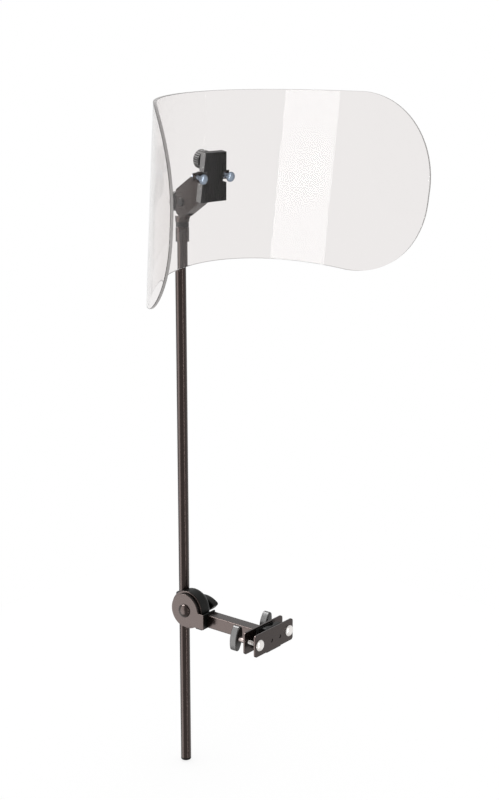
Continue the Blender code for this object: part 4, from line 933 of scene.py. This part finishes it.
def disc(name, node, finish, slot, edge=0.3 * MM, bore=M8_BORE):
    """A round plate on the joint's bolt."""
    low, high = span(node)
    profile = ring_profile((high[2] - low[2]) / 2, bore, low[0], high[0], edge)
    made = solid(name, [lathe(profile, "X", pivot, 160, closed=True)])
    return dress(made, finish, slot, node)


ear_plate()
disc("brake_disc", "friction_disc", NYLON, "nylon")
disc("backing_disc", "pressure_disc", COATED_STEEL, "coated_steel", 0.5 * MM)
disc("knob_washer", "joint_knob_washer", BRIGHT_ZINC, "bright_zinc")

# %% Clamp body
CLAMP_RADIUS = 29.5 * MM
CLAMP_SHOULDER = 14 * MM
CLAMP_CROWN = 12.6 * MM
BOSS_HEIGHT = 40 * MM
BOSS_WALL = 3 * MM
rod_x, rod_y = joints["rod_turn"]["pos_m"][:2]


def clamp_body():
    """A turned drum with an elliptical shoulder, joined to a boss round the rod and bored along it.

    The boss is cut off flush with the drum's flat face. The bolt's bore takes the manifold solver, because
    the exact one leaves the wall open there.
    """
    low, high = span("clamp_body")
    start, end = low[0], high[0]
    crown = arc(1, 0, np.pi / 2, 14)
    shoulder = [(CLAMP_SHOULDER + (CLAMP_RADIUS - CLAMP_SHOULDER) * x, end - CLAMP_CROWN * (1 - y))
                for x, y in crown[::-1]]
    profile = [(0, end)] + shoulder + [(CLAMP_RADIUS, start), (0, start)]
    made = solid("rod_clamp_body", [lathe(profile, "X", pivot, 160)])
    bush_low, bush_high = span("rod_bush")
    bore = (bush_high[0] - bush_low[0]) / 2 + GAP
    half = BOSS_HEIGHT / 2
    centre = (rod_x, rod_y, PIVOT_Z)
    combine(made, "UNION", cylinder(bore + BOSS_WALL, -half, half, "Z", centre, 96))
    combine(made, "DIFFERENCE", box_tool((start - 40 * MM, -1, -1), (start, 1, 1)))
    combine(made, "DIFFERENCE", cylinder(bore, -0.1, 0.1, "Z", centre, 96))
    combine(made, "DIFFERENCE", cylinder(M8_BORE, -0.1, 0.1, "X", pivot), solver="MANIFOLD")
    weld(made.data)
    return dress(bevelled(made, 0.5 * MM), BLACK_PLASTIC, "black_plastic", "clamp_body")


clamp_body()


# %% Joint knob
JOINT_KNOB_LENGTH = 55.8 * MM
JOINT_KNOB_WIDTH = 26 * MM
JOINT_KNOB_TIP = 3 * MM
JOINT_KNOB_LEAN = np.radians(172)
JOINT_KNOB_BORE = 10.5 * MM
INSERT_CORNER = 7.3 * MM


def joint_knob():
    """The swivel's wing knob. Its insert sits in a hexagon: r = a cos 30 / cos(angle to a flat)."""
    low, high = span("joint_knob")
    insert_end = span("joint_knob_insert")[1][0] + GAP
    rim = wing(JOINT_KNOB_LENGTH, JOINT_KNOB_WIDTH, JOINT_KNOB_TIP, JOINT_KNOB_LEAN, 90)
    angle = np.arctan2(rim[:, 1], rim[:, 0])
    hexagon = INSERT_CORNER * np.cos(np.pi / 6) / np.cos(angle % (np.pi / 3) - np.pi / 6)
    bores = [(hexagon, insert_end - low[0]), (np.full(len(rim), M8_BORE), JOINT_KNOB_BORE)]
    made = solid("swivel_knob", bored_slab(rim, low[0], high[0], 2.4 * MM, bores, "X", pivot))
    dress(made, BLACK_PLASTIC, "black_plastic", "joint_knob", sharp=50)


joint_knob()
JOINT_BOLT_HEAD = 20.8 * MM
JOINT_BOLT_DOME = 5.2 * MM
M8 = 8 * MM
M8_PITCH = 1.25 * MM
bolt_seat = span("ear_plate")[0][0] - GAP
bolt_end = span("joint_bolt")[1][0]
domed_bolt("swivel_bolt", "X", (bolt_seat, PIVOT_Y, PIVOT_Z), JOINT_BOLT_HEAD, JOINT_BOLT_DOME, M8,
           bolt_end - bolt_seat, M8_PITCH, 30 * MM, COATED_STEEL, "coated_steel", "joint_bolt")

# %% [markdown]
# ## Rod
#
# The rod is a 16 mm steel tube, coated like the arm, with a plug at its foot, and a sleeve and a ring under
# the head. All are lathe work.


# %% Rod
def round_piece(name, node, profile, finish, slot):
    """A turned piece on the rod's axis."""
    closed = profile[0][0] > 0
    made = solid(name, [lathe(profile, "Z", (rod_x, rod_y, 0), 128, closed=closed)])
    return dress(made, finish, slot, node)


def tube_profile(node, bore, edge):
    """The section of a node that is a tube or ring on the rod."""
    low, high = span(node)
    return ring_profile((high[0] - low[0]) / 2, bore, low[2], high[2], edge)


ROD_BORE = 6.5 * MM
SNUG_BORE = 8.3 * MM
tube = tube_profile("rod_tube", ROD_BORE, 0.3 * MM)
round_piece("round_rod", "rod_tube", tube, COATED_STEEL, "coated_steel")
sleeve = tube_profile("rod_sleeve", SNUG_BORE, 0.7 * MM)
round_piece("top_sleeve", "rod_sleeve", sleeve, COATED_STEEL, "coated_steel")
ring = tube_profile("socket_ring", SNUG_BORE, 0.8 * MM)
round_piece("ring_seal", "socket_ring", ring, BLACK_PLASTIC, "black_plastic")
bush = tube_profile("rod_bush", SNUG_BORE, 0.25 * MM)
round_piece("split_bush", "rod_bush", bush, NYLON, "nylon")
PLUG_SPIGOT = 6.2 * MM
PLUG_HEAD = 3 * MM
low, high = span("rod_end_plug")
plug_radius, plug_neck = (high[0] - low[0]) / 2, low[2] + PLUG_HEAD
plug = [(0, high[2]), (PLUG_SPIGOT, high[2]), (PLUG_SPIGOT, plug_neck), (plug_radius, plug_neck),
        (plug_radius, low[2]), (0, low[2])]
plug = rounded(plug, [0, 0.5 * MM, 0, 0.2 * MM, 1.4 * MM, 0], closed=False)
round_piece("foot_plug", "rod_end_plug", plug, BLACK_PLASTIC, "black_plastic")

# %% [markdown]
# ## Head socket and neck
#
# The socket is a turned cap with a flat tongue that stands up between the neck's two flanks. The neck is
# one folded sheet with a plate on its front end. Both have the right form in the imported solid, so they are
# merged copies with their edges rounded.

# %% Socket and neck
socket = bevelled(merged_copy("head_socket", "socket_and_tongue"), 0.35 * MM, 2, 40)
dress(socket, COATED_STEEL, "coated_steel", "head_socket")
neck = bevelled(merged_copy("neck_bracket", "folded_neck"), 0.5 * MM, 3)
dress(neck, COATED_STEEL, "coated_steel", "neck_bracket")
bar = bevelled(merged_copy("cross_bar", "sheet_cross_bar"), 0.3 * MM)
dress(bar, COATED_STEEL, "coated_steel", "cross_bar")

PIN_HALF = 7.8 * MM
PIN_HEAD = 6 * MM
PIN_HEIGHT = 2 * MM
PIN_RADIUS = 3 * MM
pin_end = PIN_HALF + PIN_HEIGHT
pin_half = [(0, pin_end), (PIN_HEAD, pin_end), (PIN_HEAD, PIN_HALF), (PIN_RADIUS, PIN_HALF)]
pin = rounded(pin_half + [(r, -z) for r, z in pin_half[::-1]],
              [0, 0.8 * MM, 0.2 * MM, 0, 0, 0.2 * MM, 0.8 * MM, 0], closed=False)
rivet = solid("tilt_rivet", [lathe(pin, "X", steps=96)], TILT)
dress(rivet, BLACK_PLASTIC, "black_plastic", "pivot_pin")

# %% [markdown]
# ## Block
#
# The plastic block fills the hollow between the bent sheet and the neck's flat plate. Its front has fine
# upright ribs. They are a cosine across the face, cut short of the two sides, on a grid that follows the
# block's taper.

# %% Block
BLOCK_TOP = 36 * MM
BLOCK_BOTTOM = 45.6 * MM
BLOCK_HEIGHT = 68.7 * MM
BLOCK_DEPTH = 11.3 * MM
BLOCK_FRONT = SHEET_THICKNESS + GAP
BLOCK_BACK = BLOCK_FRONT + BLOCK_DEPTH
SCREW_SEAT = 8 * MM
NOTCH_HEIGHT = 16.5 * MM
NOTCH_DEPTH = 6 * MM
BAR_SLOT = 12.6 * MM
BAR_BACK = 2.8 * MM
RIB_PITCH = 3.4 * MM
RIB_DEPTH = 0.45 * MM


def ribbed_block():
    """Front face y = front + depth of groove; width runs from the bottom's to the top's with height."""
    across = np.linspace(-1, 1, 121)
    up = np.linspace(0, 1, 33)[:, None]
    width = BLOCK_BOTTOM + (BLOCK_TOP - BLOCK_BOTTOM) * up
    x = across * width / 2
    z = bolt_up - BLOCK_HEIGHT / 2 + BLOCK_HEIGHT * up + 0 * x
    inside = (abs(across) < 0.93) & (up > 0.02) & (up < 0.98)
    groove = RIB_DEPTH * np.maximum(0, np.cos(2 * np.pi * x / RIB_PITCH)) ** 4 * inside
    front = np.stack([x, BLOCK_FRONT + groove, z], -1)
    back = np.stack([x, np.full_like(x, BLOCK_BACK), z], -1)
    edges = [np.stack([front[0], back[0]]), np.stack([front[-1], back[-1]]),
             np.stack([front[:, 0], back[:, 0]]), np.stack([front[:, -1], back[:, -1]])]
    made = solid("ribbed_block", [skin(front), skin(back)] + [skin(edge) for edge in edges], ROLL)
    middle_half = (BLOCK_TOP + BLOCK_BOTTOM) / 4
    tools = []
    for side in (-1, 1):
        near, far = sorted([side * (middle_half - NOTCH_DEPTH), side * BLOCK_BOTTOM])
        tools.append(box_tool((near, 0, bolt_up - NOTCH_HEIGHT / 2),
                              (far, 2 * BLOCK_BACK, bolt_up + NOTCH_HEIGHT / 2), ROLL))
    tools.append(box_tool((-BLOCK_BOTTOM, BLOCK_BACK - BAR_BACK, bolt_up - BAR_SLOT / 2),
                          (BLOCK_BOTTOM, 2 * BLOCK_BACK, bolt_up + BAR_SLOT / 2), ROLL))
    tools.append(cylinder(M6_BORE, BLOCK_BACK - SCREW_SEAT, 40 * MM, steps=48, place=ROLL))
    combine(made, "DIFFERENCE", *tools)
    return dress(bevelled(made, 0.6 * MM, 2, 50), BLACK_PLASTIC, "black_plastic", "head_block", sharp=30)


block = ribbed_block()

# %% Sheet bolts and nuts
BOLT_HEAD = 14.4 * MM
BOLT_DOME = 3.6 * MM
BOLT_TAIL = 0.8 * MM
NUT_ACROSS = 10 * MM
NUT_HEIGHT = 5 * MM
nut_front = BLOCK_BACK + GAP
for side, sign in zip(SIDES, (-1, 1)):
    at = sign * BOLT_PITCH / 2
    seat = float(np.interp(abs(at) + BOLT_HEAD / 2, bend_along, bend_y)) - GAP
    domed_bolt("shield_bolt_" + side, "Y", (at, seat, bolt_up), BOLT_HEAD, BOLT_DOME, M6,
               nut_front + NUT_HEIGHT + BOLT_TAIL - seat, M6_PITCH, 6 * MM, BLUE_ZINC, "blue_zinc",
               "sheet_bolt_" + side, place=ROLL)
    hex_nut("shield_nut_" + side, "Y", (at, nut_front, bolt_up), NUT_ACROSS, NUT_HEIGHT, M6_BORE,
            BLUE_ZINC, "blue_zinc", "sheet_nut_" + side, ROLL)

# %% [markdown]
# ## Hand screws of the head
#
# Both are moulded discs on a short neck with a screw moulded in, which ends halfway through the disc. Round
# grooves run along the rim, so the radius there is R less a rounded groove that repeats every share of the
# turn. It fades out at both edges.

# %% Knurled knobs
GROOVES = 24
GROOVE_DEPTH = 0.9 * MM
KNOB_NECK = 5 * MM
WASHER_RADIUS = 7 * MM
WASHER_THICKNESS = 1.4 * MM
SCREW_TIP = 2.3 * MM
SCREW_CHAMFER = 0.8 * MM


def knurled(name, node, radius, start, disc_start, end, root, place, centre):
    """Profile (r, y) from the seat up to a dished end, with the rim's radius modulated round the knob."""
    dish = end - 0.8 * MM
    profile = rounded([(0, start), (KNOB_NECK, start), (KNOB_NECK, disc_start), (radius, disc_start),
                       (radius, end), (radius * 0.62, end), (radius * 0.55, dish), (0, dish)],
                      [0, 0.3 * MM, 0.8 * MM, 1.5 * MM, 1.5 * MM, 0.6 * MM, 0.6 * MM, 0], 6, closed=False)
    steps = GROOVES * 12
    angle = np.linspace(0, 2 * np.pi, steps, endpoint=False)[None, :]
    r, y = profile[:, :1], profile[:, 1:]
    strength = np.clip((r - (radius - 1.6 * MM)) / (1.2 * MM), 0, 1)
    wave = np.maximum(0, np.cos(GROOVES * angle)) ** 1.5
    r = r - GROOVE_DEPTH * strength * wave
    grid = np.stack([r * np.cos(angle), r * np.sin(angle), y + 0 * angle], -1)
    made = solid(name, [skin(lay(grid, "Y", centre), wrap_columns=True)], place)
    tool = cylinder(M6_BORE, start - MM, root + GAP, "Y", centre, 48, place)
    combine(made, "DIFFERENCE", tool)
    return dress(made, BLACK_PLASTIC, "black_plastic", node, sharp=50)


def knob_screw(name, node, tip, root, place, centre):
    """The steel screw that is moulded into a knob: threaded all along, with a chamfered tip."""
    body = thread(M6 / 2, M6_PITCH, tip + SCREW_CHAMFER, root, 48)
    tip_ring = lathe([(0, tip), (SCREW_TIP, tip)], steps=48)[0].reshape(2, 48, 3)
    root_ring = lathe([(0, root)], steps=48)[0].reshape(1, 48, 3)
    grid = np.concatenate([tip_ring, body, root_ring])
    made = solid(name, [skin(lay(grid, "Y", centre), wrap_columns=True)], place)
    return dress(made, BRIGHT_ZINC, "bright_zinc", node, sharp=60)


def hand_screw(name, node, short_node, radius, depth, neck, seat, tip, up, place):
    """A knob, its screw and the washer that it presses on a seat, all on one axis along Y at a height."""
    start = seat + WASHER_THICKNESS + GAP
    disc_start = start + neck
    root = disc_start + depth / 2
    knurled(name + "_knob", node, radius, start, disc_start, disc_start + depth, root, place, (0, 0, up))
    knob_screw(name + "_screw", short_node + "_screw", tip, root, place, (0, 0, up))
    washer(name + "_washer", "Y", (0, seat, up), WASHER_RADIUS, M6_BORE, WASHER_THICKNESS, BRIGHT_ZINC,
           "bright_zinc", short_node + "_washer", place)


NECK_SHEET = 2.5 * MM
SCREW_DEPTH = 7.4 * MM
flange_back = BLOCK_BACK + GAP + NECK_SHEET
hand_screw("roll", "knurled_knob", "knurled_knob", radius=13.5 * MM, depth=14 * MM, neck=7.4 * MM,
           seat=flange_back + GAP, tip=BLOCK_BACK - SCREW_DEPTH, up=0, place=ROLL)
hand_screw("tilt", "tilt_lock_knob", "tilt_lock", radius=14 * MM, depth=13 * MM, neck=1.6 * MM,
           seat=15.1 * MM, tip=10.8 * MM, up=1.5 * MM, place=TILT)

# %% [markdown]
# ## What stays as packed
#
# A few small pieces sit inside others and need no finer shape. They only change their finish.

# %% Kept nodes
kept = {"vee_block_screw_left": COATED_STEEL, "vee_block_screw_right": COATED_STEEL,
        "joint_knob_insert": BRASS}
for node, finish in kept.items():
    mesh = frame["nodes"][node].data
    mesh.materials.clear()
    mesh.materials.append(finish)
print("kept:", sorted(kept))

# %% [markdown]
# ## Studio
#
# The photograph is a cut-out on white, lit by large soft boxes. The world shows white to the camera and in
# reflections, and lights the object at a plain level otherwise. Glossy black things are drawn by what they
# mirror, so each box stands where one surface mirrors it for the camera. For a face whose normal is n and a
# view direction d, that is the direction d - 2 (d . n) n.
#
# The left box gives the ear plate and the arm's side their sheen and the rod its left streak. The rear box
# draws the arm's upper edge, the right one fills, and the front strip is the rod's second streak. The block's
# left side and the sheet mirror brighter boxes in the photograph than the rest does, so these two have their
# own, which light them alone.


# %% World and floor
def white_world(light_level):
    """White where it is seen, reflected or seen through, and this level as light."""
    world = bpy.data.worlds.new("studio")
    bpy.context.scene.world = world
    world.use_nodes = True
    tree = world.node_tree
    path = add(tree, "ShaderNodeLightPath")
    seen = add(tree, "ShaderNodeMath", {"operation": "MAXIMUM"},
               {0: path.outputs["Is Camera Ray"], 1: path.outputs["Is Glossy Ray"]})
    seen = add(tree, "ShaderNodeMath", {"operation": "MAXIMUM"},
               {0: seen.outputs[0], 1: path.outputs["Is Transmission Ray"]})
    level = {"Value": seen.outputs[0], "To Min": light_level, "To Max": 1.0}
    level = add(tree, "ShaderNodeMapRange", {}, level)
    background = tree.nodes["Background"]
    background.inputs["Color"].default_value = (1, 1, 1, 1)
    tree.links.new(level.outputs["Result"], background.inputs["Strength"])


def pale_floor(height, half=0.9):
    """A plain floor under the rod that glows a little less than white, so that shadows stay faint."""
    side = np.array([-half, half])
    x, y = np.meshgrid(side, side)
    floor = solid("floor", [skin(np.stack([x, y, np.full_like(x, height)], -1))])
    made = finish_of("pale_floor", Base_Color=linear("#808080"), Roughness=0.9, Specular_IOR_Level=0.0,
                     Emission_Color=(1, 1, 1, 1), Emission_Strength=0.8)[0]
    floor.data.materials.append(made)
    floor.visible_glossy = floor.visible_shadow = False
    return floor


white_world(0.95)
pale_floor(cad_box[0][2] - 2 * MM)
bpy.context.scene.view_settings.view_transform = "Standard"
print("white to the eye, 0.95 as light")


# %% Lamps
def soft_box(name, place, target, width, height, radiance, piece, state):
    """An area lamp seen in reflections alone, so that matt colours keep the world's plain level.

    Its power is pi times its area times its radiance. It lights one piece alone, or all but that piece.
    """
    lamp = bpy.data.lights.new(name, "AREA")
    lamp.shape, lamp.size, lamp.size_y = "RECTANGLE", width, height
    lamp.energy = np.pi * width * height * radiance
    made = bpy.data.objects.new(name, lamp)
    bpy.context.scene.collection.objects.link(made)
    place, target = Vector(place), Vector(target)
    made.location = place
    made.rotation_euler = (target - place).to_track_quat("-Z", "Y").to_euler()
    made.visible_camera = made.visible_transmission = made.visible_diffuse = False
    linked = bpy.data.collections.new(name)
    linked.objects.link(piece)
    linked.collection_objects[0].light_linking.link_state = state
    made.light_linking.receiver_collection = linked
    return made


MIDDLE = Vector((0, 0.1, 0.1))
soft_box("left_box", (-1.75, 1.35, 0), MIDDLE, 1.5, 3.0, 4.8, sheet, "EXCLUDE")
soft_box("rear_box", (-0.4, 1.4, 1.6), MIDDLE, 1.2, 1.2, 24.0, sheet, "EXCLUDE")
soft_box("right_box", (1.6, -1.3, -0.2), MIDDLE, 2.6, 2.6, 0.2, sheet, "EXCLUDE")
soft_box("front_strip", (-0.35, -1.86, 0.1), MIDDLE, 0.15, 3.0, 14.0, sheet, "EXCLUDE")
soft_box("block_box", (-1.6, 1.25, 0.45), (0, -0.08, 0.66), 1.6, 1.6, 45.0, block, "INCLUDE")
soft_box("sheet_box", (-1.66, -1.46, -0.38), (0.08, 0, 0.66), 1.65, 1.9, 14.0, sheet, "INCLUDE")
